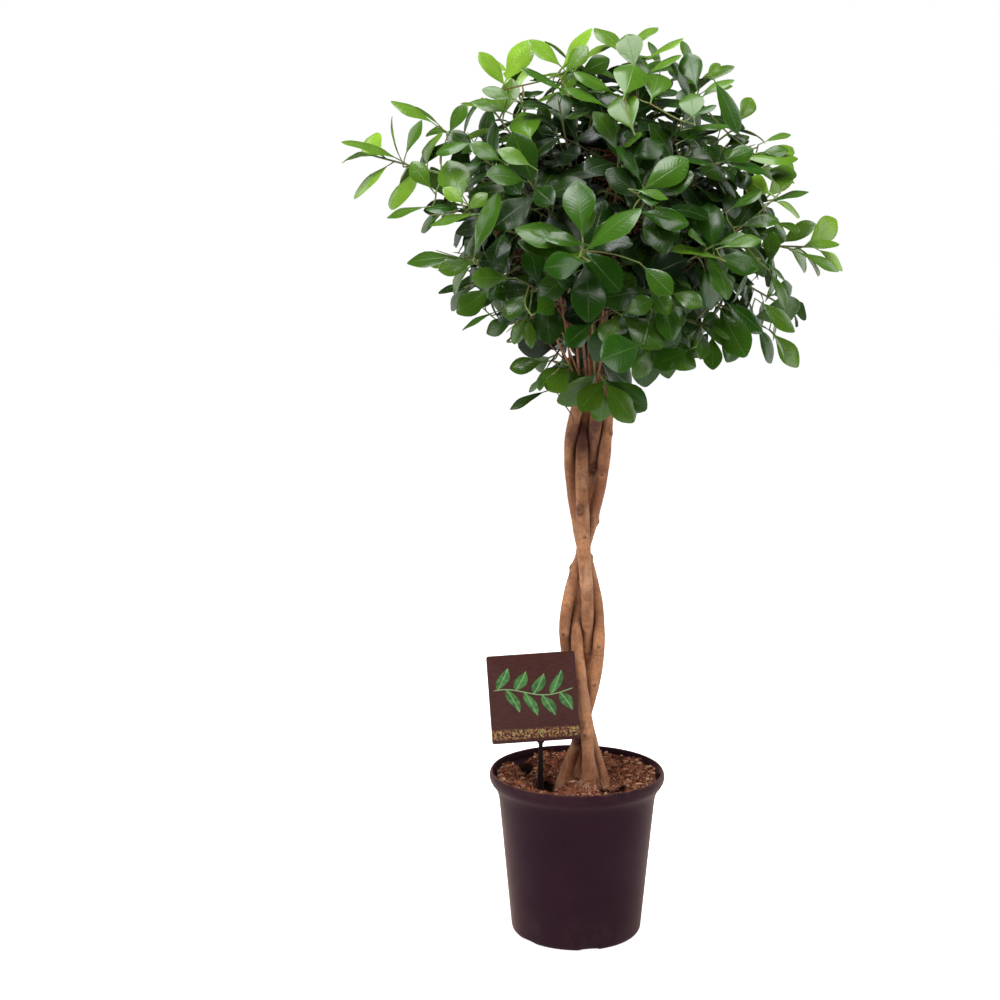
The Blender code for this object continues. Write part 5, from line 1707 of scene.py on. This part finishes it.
def pot_outline():
    """The wall's section: up the inside, over a lip that bulges as a half sine, down the
    outside with its collar, round the foot and in to the middle."""
    up = np.concatenate([np.linspace(0.03, COLLAR_START, 8), np.linspace(0.163, LIP_HEIGHT, 16)])
    up = np.concatenate([[FOOT_ROUNDING + POT_WALL], up])
    inside = np.stack([collar_radius(up) - POT_WALL, up + POT_WALL / 2], axis=1)
    floor = np.array([(0.004, POT_FLOOR), (floor_corner() / 2, POT_FLOOR), (floor_corner(), POT_FLOOR)])
    bead = RIM_WIDTH / 2
    rim = arc((RIM_RADIUS - bead, POT_HEIGHT - bead), bead, 180, 20, 9)
    share = np.linspace(0.0, 1.0, 14)
    low = collar_radius(LIP_HEIGHT) - LIP_BULGE * 0.35
    reach = RIM_RADIUS + (low - RIM_RADIUS) * share + LIP_BULGE * np.sin(math.pi * share**0.8) * 0.55
    lip = np.stack([reach, POT_HEIGHT - bead - share * (POT_HEIGHT - bead - LIP_HEIGHT - 0.0012)], axis=1)
    down = np.linspace(LIP_HEIGHT - 0.0030, COLLAR_START, 24)
    down = np.concatenate([down, np.linspace(COLLAR_START - 0.006, FOOT_ROUNDING, 14)])
    outside = np.stack([collar_radius(down), down], axis=1)
    turn = np.radians(np.linspace(10, 90, 9))
    step = WALL_RADIUS_AT_FOOT - FOOT_RADIUS
    foot = np.stack([FOOT_RADIUS + step * np.cos(turn), FOOT_ROUNDING * (1 - np.sin(turn))], axis=1)
    under = np.array([(0.060, 0.0), (0.040, 0.0), (0.004, 0.0)])
    return np.concatenate([floor, inside, rim, lip, outside, foot, under])


def revolve(section, steps):
    """Rings (1, ring, point, xyz) of a section turned about Z."""
    turn = np.arange(steps) * 2 * math.pi / steps
    x = section[:, :1] * np.cos(turn)
    y = section[:, :1] * np.sin(turn)
    z = np.broadcast_to(section[:, 1:], x.shape)
    return np.stack([x, y, z], axis=-1)[None]


def plastic_finish(name, colour, roughness, grime_and_highlight=None):
    """Matte moulded plastic: a spark-eroded grain, slow changes of gloss and a film of dust low down.
    Given a rim colour, it has soil rubbed into the rim, which also lightens the rim's top edge as a
    painted highlight, and nicks in the collar."""
    made, paint, shader = finish(name, colour, roughness, 0.05)
    for key, value in (("Weight", 0.30), ("Roughness", 0.35), ("Tint", SHEEN)):
        paint.plug(value, shader.inputs["Sheen " + key])
    place = paint.place()
    high = paint.height(place)
    inks = dict(Light=colour, Dark=[c * 0.72 for c in colour])
    cloud = paint.use(MOTTLE, Place=place, **inks, Coarse=14.0, Fine=900.0, Amount=0.8)
    inks = dict(Color=cloud["Color"], Dust=FILM)
    film = paint.use(DUST, Place=place, **inks, Height=high, High=0.07, Amount=0.10)
    scratch = paint.noise(paint.place((1.0, 1.0, 0.05)), 700.0, 2.0, 0.5)
    ink = paint.over(film["Color"], (SCRATCH, scratch, 0.70, 0.76, 0.0, 0.06))
    if grime_and_highlight is not None:
        smear = paint.ramp(paint.noise(place, 75.0, 5.0, 0.7), 0.34, 0.66)
        # Soil rubbed in, and a painted highlight on the rim's top edge
        rim = paint.ramp(high, POT_HEIGHT - 0.0022, POT_HEIGHT, 0.0, 0.9)
        inner = paint.ramp(high, SOIL_HEIGHT - 0.008, POT_HEIGHT, 0.0, 0.09)
        ink = paint.mix(paint.times(smear, paint.math("MAXIMUM", rim, inner)), ink, grime_and_highlight)
        for nick in NICKS:
            ragged = paint.scaled(paint.noise(place, 320.0, 2.0), 0.004, paint.distance(place, nick))
            ink = paint.over(ink, (NICK, ragged, 0.0030, 0.0052, 0.85, 0.0))
    rough = paint.scaled(film["Mask"], 0.6, paint.scaled(cloud["Mask"], 0.12, roughness - 0.06))
    paint.feed(shader, ink, rough, cloud["Height"], 0.25, 0.0003)
    return made


def drain_cutters(number, way):
    """A channel under the foot, whose section is a flattened half circle, and a drain hole, both
    in the direction given."""
    arch = np.radians(np.linspace(0, 180, 13))
    shape = np.stack([np.cos(arch) * NOTCH_WIDTH / 2, np.sin(arch) ** 0.6 * NOTCH_HEIGHT], axis=1)
    shape = np.concatenate([shape, [(-NOTCH_WIDTH / 2, -0.004), (NOTCH_WIDTH / 2, -0.004)]])
    ring = shape[:, :1] * np.array([-way[1], way[0], 0.0]) + shape[:, 1:] * np.array([0.0, 0.0, 1.0])
    ends = (FOOT_RADIUS - NOTCH_DEPTH, WALL_RADIUS_AT_FOOT + NOTCH_HEIGHT)
    tunnel = np.stack([ring + way * end for end in ends])[None]
    hole = np.array([(DRAIN_RADIUS, -0.004), (DRAIN_RADIUS, POT_FLOOR + 0.004)])
    drain = revolve(hole, 20) + way * DRAIN_CIRCLE
    return [skin(f"channel_{number}", *tubes(tunnel)), skin(f"drain_{number}", *tubes(drain))]


class FICUS_OT_pot(bpy.types.Operator):
    """The nursery pot, with its collar, lip, drain channels and holes"""

    bl_idname = "ficus.pot"
    bl_label = "Pot"

    def execute(self, context):
        looks = context.scene.ficus_pot
        pot = skin("nursery_pot", *tubes(revolve(pot_outline(), looks.steps)), crease=POT_CREASE)
        cutters = []
        for k in range(NOTCH_COUNT):
            turn = NOTCH_TURN + k * 2 * math.pi / NOTCH_COUNT
            cutters += drain_cutters(k, np.array([math.cos(turn), math.sin(turn), 0.0]))
        cutting = bpy.data.collections.new("pot_cutters")
        for cutter in cutters:
            cutting.objects.link(cutter)
        cut = pot.modifiers.new("cut", "BOOLEAN")
        cut.operation = "DIFFERENCE"
        cut.solver = "EXACT"
        cut.operand_type = "COLLECTION"
        cut.collection = cutting
        graph = context.evaluated_depsgraph_get()
        mesh = bpy.data.meshes.new_from_object(pot.evaluated_get(graph))
        pot.modifiers.clear()
        pot.data = mesh
        for cutter in cutters:
            bpy.data.objects.remove(cutter, do_unlink=True)
        bpy.data.collections.remove(cutting)
        mesh.shade_smooth()
        mesh.set_sharp_from_angle(angle=math.radians(POT_CREASE))
        mesh.materials.clear()
        mesh.materials.append(plastic_finish("pot_plastic", looks.plastic, 0.50, looks.grime_and_highlight))
        settle(pot, "pot_plastic", "pot")
        return {"FINISHED"}


# Soil

# Hollows in the soil: across and back; they are painted dark as shade
HOLLOWS = ((-0.066, 0.058), (-0.040, -0.014), (-0.041, 0.004), (0.040, -0.026), (0.052, -0.020))
HOLLOW_LONG = 1.7
# Bank at the wall: height, where it starts and how wide it is
BANK = 0.0120
BANK_START = 0.055
BANK_WIDTH = 0.045
HOLLOW_DEPTH = 0.0160
HOLLOW_REACH = 0.0080
HOLLOW_SHADOW_INK = (0.004, 0.001, 0.001)
SOIL_STEPS = 220
CHIP_REACH = 0.103
CHIP_SIDES = 5
CHIP_SIZES = (0.0008, 0.0022)
FIBRE_REACH = 0.098
SOIL_REACH = 0.105
ROOT_FOOT = 0.006
ROOT_COUNT = 170


def soil_top(x, y):
    """The solid's surface, banked up towards the wall, with hollows and crumbs."""
    places = np.stack([x, y], axis=-1)
    mound = SOIL_MOUND * np.exp(-(x * x + y * y) / MOUND_REACH**2)
    waves = np.sin(70 * x + 1.0) * np.cos(58 * y) + 0.6 * np.sin(95 * (x - y))
    bank = BANK * np.clip((np.hypot(x, y) - BANK_START) / BANK_WIDTH, 0, 1) ** 1.5
    level = SOIL_HEIGHT + mound + SOIL_BUMP * waves + bank
    for hx, hy in HOLLOWS:
        away = (x - hx) ** 2 + ((y - hy) / HOLLOW_LONG) ** 2
        level = level - HOLLOW_DEPTH * np.exp(-away / (2 * HOLLOW_REACH**2))
    crumbs = 0.0011 * tumble(places, 5, 40, (180.0, 1500.0)) + 0.0014 * tumble(places, 9, 20, (60.0, 240.0))
    return level + crumbs


def soil_rings(steps):
    """Rings of the whole root ball: its top from the middle out, then down inside the pot."""
    edge = collar_radius(SOIL_HEIGHT - SOIL_EDGE) - POT_WALL - 2 * GAP
    turn = np.arange(steps) * 2 * math.pi / steps
    reach = np.concatenate([[0.0015], np.linspace(0.004, edge, 92)])
    x, y = reach[:, None] * np.cos(turn), reach[:, None] * np.sin(turn)
    near = np.clip((edge - reach[:, None]) / 0.004, 0, 1)
    z = SOIL_HEIGHT + (soil_top(x, y) - SOIL_HEIGHT) * near**0.4
    top = np.stack([x, y, z], axis=-1)
    levels = (0.185, 0.175, COLLAR_START, 0.08, FOOT_ROUNDING + POT_WALL)
    side = [(collar_radius(level) - POT_WALL - 2 * GAP, level + POT_WALL / 2) for level in levels]
    side += [(floor_corner() - 2 * GAP, POT_FLOOR + GAP), (0.004, POT_FLOOR + GAP)]
    return np.concatenate([top, revolve(np.array(side), steps)[0]])[None]


def turned_about(ways, angles):
    """Rotation matrices about unit directions: the usual sum of cosine, sine and outer product."""
    x, y, z = ways.T
    zero = np.zeros_like(x)
    cross = np.stack([zero, -z, y, z, zero, -x, -y, x, zero], axis=-1).reshape(-1, 3, 3)
    c, s = np.cos(angles)[:, None, None], np.sin(angles)[:, None, None]
    return c * np.eye(3) + s * cross + (1 - c) * ways[:, :, None] * ways[:, None, :]


def strand_rings(x, y, z, way, width, sides):
    """Rings round thin strands (strand, point) that head along the level angles way."""
    side = np.stack([-np.sin(way), np.cos(way), np.zeros_like(way)], axis=-1)[:, :, None]
    around = (np.arange(sides) * 2 * math.pi / sides)[None, None, :, None]
    section = np.cos(around) * side + np.sin(around) * np.array([0.0, 0.0, 1.0])
    return np.stack([x, y, z], axis=-1)[:, :, None] + width * section


def chip_rings(count, seed):
    """Small flakes: three rings of five points each, of seeded size and turn, half sunk in the soil."""
    draw = np.random.default_rng(seed)
    reach = CHIP_REACH * np.sqrt(draw.uniform(0.0, 1.0, count))
    turn = draw.uniform(0, 2 * math.pi, count)
    x, y = reach * np.cos(turn), reach * np.sin(turn)
    size = CHIP_SIZES[0] + CHIP_SIZES[1] * draw.random(count) ** 3.2
    around = np.arange(CHIP_SIDES) * 2 * math.pi / CHIP_SIDES
    shape = np.stack([np.cos(around), np.sin(around), np.zeros(CHIP_SIDES)], axis=-1)
    shape = np.stack([shape * 0.75 - [0, 0, 0.22], shape + [0.12, 0, 0.0], shape * 0.6 + [0, 0, 0.25]])
    ragged = 1 + 0.35 * draw.uniform(-1, 1, (count, 3, CHIP_SIDES, 1))
    stretch = [1 + 1.1 * draw.random(count), np.ones(count), 0.7 + 0.8 * draw.random(count)]
    rings = shape[None] * ragged * (size[:, None] * np.stack(stretch, axis=-1))[:, None, None]
    about = unit(draw.normal(size=(count, 3)) + [0, 0, 1.5])
    matrix = turned_about(about, draw.uniform(0, 2 * math.pi, count))
    rings = np.einsum("nij,nabj->nabi", matrix, rings)
    centre = np.stack([x, y, soil_top(x, y) + size * 0.15], axis=-1)
    return rings + centre[:, None, None], draw.random(count)


def fibre_rings(count, seed):
    """Thin bent fibres that lie on the soil: arcs of five spans, three sides round."""
    draw = np.random.default_rng(seed)
    reach = FIBRE_REACH * np.sqrt(draw.uniform(0.0, 1.0, count))
    turn = draw.uniform(0, 2 * math.pi, count)
    heading = draw.uniform(0, 2 * math.pi, count)
    length = draw.uniform(0.006, 0.024, count)
    bend = draw.uniform(-1.6, 1.6, count)
    t = np.linspace(-0.5, 0.5, 6)[None]
    way = heading[:, None] + bend[:, None] * t
    x = (reach * np.cos(turn))[:, None] + np.cumsum(np.cos(way), axis=1) * length[:, None] / 6
    y = (reach * np.sin(turn))[:, None] + np.cumsum(np.sin(way), axis=1) * length[:, None] / 6
    lift = draw.uniform(0.0, 0.0016, count)[:, None] * np.cos(math.pi * t) + 0.0004
    pull = np.minimum(1.0, SOIL_REACH / np.hypot(x, y))
    x, y = x * pull, y * pull
    width = draw.uniform(0.00014, 0.00034, count)[:, None, None, None]
    return strand_rings(x, y, soil_top(x, y) + lift, way, width, 3), draw.random(count)


def root_rings(count, seed):
    """Fine pale roots that leave the foot of each stem and run into the soil around it."""
    draw = np.random.default_rng(seed)
    owners = [STEMS[name] for name in ("stem_3", "stem_3", "stem_1", "stem_4", "stem_2")]
    foot = np.array([stem_place(owners[k % 5], SOIL_HEIGHT + ROOT_FOOT)[:] for k in range(count)])
    girth = np.array([stem_radius(owners[k % 5], SOIL_HEIGHT + ROOT_FOOT) for k in range(count)])
    turn = draw.uniform(0, 2 * math.pi, count)
    wander = draw.uniform(-0.9, 0.9, count)
    t = np.linspace(0, 1, 6)[None]
    reach = girth[:, None] * 0.95 + draw.uniform(0.004, 0.014, count)[:, None] * t
    way = turn[:, None] + wander[:, None] * t
    x = foot[:, :1] + reach * np.cos(way)
    y = foot[:, 1:2] + reach * np.sin(way)
    high = draw.uniform(0.001, 0.010, count)[:, None]
    z = soil_top(x, y) + high * (1 - t) ** 2 - 0.0005 * t
    width = draw.uniform(0.00016, 0.00042, count)[:, None, None, None] * (1.2 - 0.6 * t[..., None, None])
    return strand_rings(x, y, z, way, width, 4), draw.random(count)


def crumb_finish(name, looks, loose):
    """Coir: clouds from dark to red-brown with pale flecks; a loose piece takes its own share of each.
    The hollows are painted dark as shade.
    """
    made, paint, shader = finish(name, looks.coir, 0.9, 0.05)
    place = paint.place()
    inks = dict(Light=looks.coir, Dark=looks.dark)
    cloud = paint.use(MOTTLE, Place=place, **inks, Coarse=70.0, Fine=620.0, Amount=0.9)
    colour = cloud["Color"]
    if loose:
        chance = paint.attribute("chance")
        colour = paint.over(
            colour, (looks.light, chance, 0.50, 1.0), (looks.dark, chance, 0.0, 0.25, 0.7, 0.0)
        )
    else:
        fleck = paint.noise(place, 900.0, 2.0)
        colour = paint.over(colour, (looks.light, fleck, 0.60, 0.68, 0.0, 0.6))
    # Painted shade in the hollows
    squeezed = paint.place((1.0, 1 / HOLLOW_LONG, 0.4))
    edges = (HOLLOW_REACH * 1.15, HOLLOW_REACH * 1.75)
    for x, y in HOLLOWS:
        away = paint.distance(squeezed, (x, y / HOLLOW_LONG, SOIL_HEIGHT * 0.4))
        colour = paint.over(colour, (HOLLOW_SHADOW_INK, away, *edges, 0.95, 0.0))
    paint.feed(shader, colour, None, cloud["Height"], 0.8, 0.0012)
    return made


class FICUS_OT_soil(bpy.types.Operator):
    """The root ball with its hollows, chips, fibres and fine roots"""

    bl_idname = "ficus.soil"
    bl_label = "Soil"

    def execute(self, context):
        looks = context.scene.ficus_soil
        loose = [crumb_finish("coir_chips", looks, True)]
        packed = [crumb_finish("coir_soil", looks, False)]
        settle(skin("root_ball", *tubes(soil_rings(SOIL_STEPS)), finishes=packed), "soil", "soil")
        for name, (rings, chance), palest, crease in (
            ("coir_chips", chip_rings(looks.chips, 21), 0.0, 30),
            ("coir_fibres", fibre_rings(looks.fibres, 22), 0.60, 80),
            ("fine_roots", root_rings(ROOT_COUNT, 23), 0.85, 80),
        ):
            own = (palest + (1 - palest) * chance)[:, None, None] * np.ones(rings.shape[:3])
            piece = skin(name, *tubes(rings), dict(chance=at_points(own)), finishes=loose, crease=crease)
            settle(piece, "soil")
        return {"FINISHED"}


# Plant tag

TAG_CORNER = 0.0032
TAG_BEVEL = 0.0003
HEAD_BACK = 0.0021
# Head of the stake: height above its foot, half width and half depth as shares of the solid's
STAKE_HEAD = (
    (0.0, 0.42, 0.6), (0.0050, 0.5, 0.7), (0.0072, 0.9, 0.6), (HEAD_HEIGHT - 0.001, 0.9, 0.6),
    (HEAD_HEIGHT, 0.8, 0.5),
)


def card_rings():
    """Rings of a card with rounded corners: a front ring set in by a bevel, the edge, and a back ring."""
    turn = np.radians(np.arange(0, 360, 6.0))
    corner = np.stack([np.cos(turn), np.sin(turn)], axis=-1)
    middle = np.sign(corner + 1e-9) * (np.array([CARD_WIDTH, CARD_HEIGHT]) / 2 - TAG_CORNER)
    outer = middle + corner * TAG_CORNER
    inset = outer - corner * TAG_BEVEL
    half = CARD_THICKNESS / 2
    flat = np.stack([np.c_[inset, np.full(len(turn), -half)], np.c_[outer, np.full(len(turn), -half * 0.6)]])
    flat = np.concatenate([flat, (flat * [1, 1, -1])[::-1]])
    lean = CARD_TURN
    x = flat[..., 0] * math.cos(lean) + flat[..., 1] * math.sin(lean)
    z = -flat[..., 0] * math.sin(lean) + flat[..., 1] * math.cos(lean)
    place = np.stack([x, flat[..., 2], z], axis=-1) + np.array(CARD_MIDDLE)
    return place[None], flat[None, ..., 0] / CARD_WIDTH + 0.5, flat[None, ..., 1] / CARD_HEIGHT + 0.5


# Print: leaves across the card, their rise as a share of its height, their lean, their count, inks
LEAF_CELLS = 5.0
LEAF_RISE = 0.25
LEAF_LEAN = 0.14
LEAVES_IN_ROW = 4
VINE_HEIGHT = 0.57
VINE_SWAY = 0.045
PALE_WARM = (0.42, 0.34, 0.13)
PALE_LEAF = (0.30, 0.46, 0.22)


def print_group():
    """A generic print from a place across (U) and up (V) the card: a waving vine with leaves above and
    below it, a strip of warm speckles and fine wood grain. A leaf is where the distance from its middle
    line is under a sine of its length."""
    paint, given, out = group("card_print", dict(U=0.5, V=0.5), ("Leaf", "Rib", "Speckle", "Grain"))
    u, v = given["U"], given["V"]
    bow = paint.math("SINE", paint.scaled(u, 2 * math.pi, 0.6))
    off_vine = paint.math("SUBTRACT", v, paint.scaled(bow, VINE_SWAY, VINE_HEIGHT))
    leaf = rib = paint.ramp(paint.math("ABSOLUTE", off_vine), 0.003, 0.008, 1.0, 0.0)
    for side, shift, first in ((1.0, 0.0, 0.0), (-1.0, 0.5, 1.0)):
        rise = paint.times(off_vine, side / LEAF_RISE)
        eased = paint.math("POWER", paint.math("MAXIMUM", rise, 0.0), 0.8)
        number = paint.scaled(paint.scaled(eased, -LEAF_LEAN, u), LEAF_CELLS, shift)
        off = paint.math("ABSOLUTE", paint.math("SUBTRACT", paint.math("FRACT", number), 0.5))
        curve = paint.math("SINE", paint.times(eased, math.pi))
        blade = paint.ramp(paint.scaled(curve, 0.36, paint.times(off, -1.0)), 0.0, 0.05)
        for value, low, high in ((rise, 0.02, 1.0), (number, first, first + LEAVES_IN_ROW)):
            above = paint.math("GREATER_THAN", value, low)
            blade = paint.times(blade, paint.times(above, paint.math("LESS_THAN", value, high)))
        leaf = paint.math("MAXIMUM", leaf, blade)
        rib = paint.math("MAXIMUM", rib, paint.times(blade, paint.ramp(off, 0.0, 0.05, 1.0, 0.0)))
    margin = paint.times(paint.ramp(u, 0.05, 0.09), paint.ramp(u, 0.92, 0.96, 1.0, 0.0))
    band = paint.times(paint.ramp(v, 0.03, 0.06), paint.ramp(v, 0.13, 0.17, 1.0, 0.0))
    place = paint.add("CombineXYZ", {"X": u, "Y": v})["Vector"]
    dots = paint.ramp(paint.noise(place, 34.0, 3.0, 0.7), 0.44, 0.60)
    stretched = paint.add("Mapping", {"Vector": place, "Scale": (3.0, 55.0, 1.0)})["Vector"]
    paint.plug(paint.times(leaf, margin), out["Leaf"])
    paint.plug(paint.times(rib, margin), out["Rib"])
    paint.plug(paint.times(band, dots), out["Speckle"])
    paint.plug(paint.noise(stretched, 3.0, 5.0, 0.6), out["Grain"])
    return paint.tree


def card_finish(looks):
    """Printed card with a satin lacquer: dark grained ground, green leaves and a warm strip."""
    made, paint, shader = finish("card_print", looks.ground, 0.45, 0.15)
    across, up = paint.attribute("card_across"), paint.attribute("card_up")
    marks = paint.use(print_group(), U=across, V=up)
    place = paint.place()
    ground = paint.over(looks.ground, ([c * 1.9 for c in looks.ground], marks["Grain"], 0.35, 0.70))
    patch = paint.noise(place, 190.0)
    leafy = paint.over(looks.leafy, ([c * 0.45 for c in looks.leafy], patch, 0.35, 0.70))
    warm = paint.over(looks.warm, (PALE_WARM, paint.noise(place, 330.0, 2.0), 0.42, 0.60))
    colour = paint.mix(marks["Leaf"], ground, leafy)
    colour = paint.mix(paint.times(marks["Rib"], 0.6), colour, PALE_LEAF)
    colour = paint.mix(marks["Speckle"], colour, warm)
    paint.feed(shader, colour, None, paint.noise(place, 700.0, 2.0), 0.12, 0.0002)
    return made


def stake_rings():
    """Rings up the stake: a flat rounded section whose width follows the solid's, then its head."""
    head_foot = CARD_MIDDLE[2] - CARD_HEIGHT / 2 + CARD_BITE - HEAD_HEIGHT
    low = np.linspace(STAKE_FOOT, head_foot - 0.002, 24)
    head = np.array(STAKE_HEAD)
    z = np.concatenate([low, head_foot + head[:, 0]])
    width = np.concatenate([[stake_width(z) / 2 for z in low.tolist()], head[:, 1] * HEAD_WIDTH / 2])
    deep = np.concatenate([np.full(len(low), STAKE_THICKNESS / 2), head[:, 2] * HEAD_THICKNESS / 2])
    back = np.concatenate([np.zeros(len(low)), [0.0, 0.0, 1.0, 1.0, 1.0]]) * HEAD_BACK
    width[0], deep[0] = width[0] * 0.3, deep[0] * 0.5
    turn = np.radians(np.arange(0, 360, 22.5))
    across, along = np.cos(turn), np.sin(turn)
    x = STAKE_X + width[:, None] * np.sign(across) * np.abs(across) ** 0.6
    y = CARD_MIDDLE[1] + back[:, None] + deep[:, None] * np.sign(along) * np.abs(along) ** 0.75
    return np.stack([x, y, np.broadcast_to(z[:, None], x.shape)], axis=-1)[None]


class FICUS_OT_tag(bpy.types.Operator):
    """The plant tag: a printed card on a plastic stake"""

    bl_idname = "ficus.tag"
    bl_label = "Plant tag"

    def execute(self, context):
        looks = context.scene.ficus_tag
        rings, across, up = card_rings()
        values = dict(card_across=at_points(across), card_up=at_points(up))
        card = skin("tag_card_print", *tubes(rings), values, finishes=[card_finish(looks)], crease=30)
        settle(card, "card", "tag_card")
        black = [plastic_finish("stake_plastic", looks.plastic, 0.45)]
        stake = skin("tag_stake_black", *tubes(stake_rings()), finishes=black, crease=40)
        settle(stake, "stake", "tag_stake")
        return {"FINISHED"}


# Studio

WHITE = (1.0, 1.0, 1.0)
FLOOR_HALF = 12
FLOOR_DEPTH = 0.05
FLOOR_DROP = 0.0001
# Soft boxes: name, place, what they face, size across and up, watts
SOFT_BOXES = (
    ("key", (-0.8, -1.5, 3.1), (0.0, 0.0, 0.80), (1.1, 1.1), 60.0),
    ("second", (1.0, -1.3, 2.9), (0.0, 0.0, 0.80), (1.1, 1.1), 30.0),
    ("top", (-0.2, 0.0, 2.8), (0.0, 0.0, 0.5), (1.3, 1.3), 44.0),
    ("left_side", (-2.3, -1.0, 0.8), (0.0, 0.0, 0.5), (1.2, 1.6), 26.0),
    ("right_side", (2.3, -1.0, 0.8), (0.0, 0.0, 0.5), (1.2, 1.6), 24.0),
    ("left_edge", (-1.7, 1.2, 1.0), (0.0, 0.0, 0.5), (1.2, 2.2), 12.0),
    ("right_edge", (1.7, 1.2, 1.0), (0.0, 0.0, 0.5), (1.2, 2.2), 12.0),
)


class FICUS_OT_studio(bpy.types.Operator):
    """A pale floor, a white surround, soft boxes and the camera"""

    bl_idname = "ficus.studio"
    bl_label = "Studio"

    def execute(self, context):
        scene = context.scene
        looks = scene.ficus_studio
        corners = np.array([(-1, -1), (1, -1), (1, 1), (-1, 1)]) * FLOOR_HALF
        ring = [np.c_[corners, np.full(4, level)] for level in (-FLOOR_DEPTH, -FLOOR_DROP)]
        ring = np.array(ring)[None]
        made, paint, shader = finish("studio_floor", looks.floor, 0.8, 0.1)
        cloud = paint.noise(paint.place(), 3.0)
        paint.feed(shader, paint.mix(cloud, looks.floor, [c * 0.985 for c in looks.floor]))
        paint.plug(WHITE, shader.inputs["Emission Color"])
        seen = paint.add("LightPath", {})["Is Camera Ray"]
        paint.plug(paint.times(seen, looks.glow), shader.inputs["Emission Strength"])
        skin("studio_floor", *tubes(ring), finishes=[made])
        world = bpy.data.worlds.new("white_surround")
        world.use_nodes = True
        scene.world = world
        sky = Paint(world.node_tree)
        dim = world.node_tree.nodes["Background"]
        sky.plug(looks.surround, dim.inputs["Strength"])
        sky.plug(WHITE, dim.inputs["Color"])
        seen = sky.add("LightPath", {})["Is Camera Ray"]
        white = sky.add("Background", {"Color": WHITE, "Strength": 1.0})
        both = sky.add("MixShader", {0: seen, 1: dim.outputs[0], 2: white[0]})
        sky.plug(both[0], world.node_tree.nodes["World Output"].inputs["Surface"])
        for name, place, aim, size, power in SOFT_BOXES:
            lamp = bpy.data.lights.new(name, "AREA")
            lamp.shape = "RECTANGLE"
            lamp.size, lamp.size_y = size
            lamp.energy = power * looks.lamps
            box = bpy.data.objects.new(name, lamp)
            box.location = place
            box.rotation_euler = (Vector(aim) - Vector(place)).to_track_quat("-Z", "Y").to_euler()
            scene.collection.objects.link(box)
        view = bpy.data.cameras.new("front_view")
        view.lens = looks.lens
        view.sensor_width = FILM_WIDTH
        camera = bpy.data.objects.new("front_view", view)
        camera.location = CAMERA_PLACE
        camera.rotation_euler = (math.pi / 2 + CAMERA_TILT, 0.0, 0.0)
        scene.collection.objects.link(camera)
        scene.camera = camera
        scene.view_settings.view_transform = "Standard"
        return {"FINISHED"}


OPERATORS = (
    FICUS_OT_sprays,
    FICUS_OT_fill,
    FICUS_OT_wood,
    FICUS_OT_pot,
    FICUS_OT_soil,
    FICUS_OT_tag,
    FICUS_OT_studio,
)


class FICUS_PT_panel(bpy.types.Panel):
    """Lists the pieces and their sizes and colours"""

    bl_label = "Braided ficus"
    bl_idname = "FICUS_PT_panel"
    bl_space_type = "VIEW_3D"
    bl_region_type = "UI"
    bl_category = "Ficus"

    def draw(self, context):
        for operator in OPERATORS:
            self.layout.operator(operator.bl_idname)
        for label, looks in LOOKS.items():
            box = self.layout.box()
            for key in looks.__annotations__:
                box.prop(getattr(context.scene, label), key)


def register():
    for one in (*LOOKS.values(), *OPERATORS, FICUS_PT_panel):
        bpy.utils.register_class(one)
    for label, looks in LOOKS.items():
        setattr(bpy.types.Scene, label, PointerProperty(type=looks))


def unregister():
    for label in LOOKS:
        delattr(bpy.types.Scene, label)
    for one in reversed((*LOOKS.values(), *OPERATORS, FICUS_PT_panel)):
        bpy.utils.unregister_class(one)


def main():
    register()
    bpy.ops.ficus.sprays()
    bpy.ops.ficus.fill()
    bpy.ops.ficus.wood()
    bpy.ops.ficus.pot()
    bpy.ops.ficus.soil()
    bpy.ops.ficus.tag()
    bpy.ops.ficus.studio()


if __name__ == "__main__":
    main()
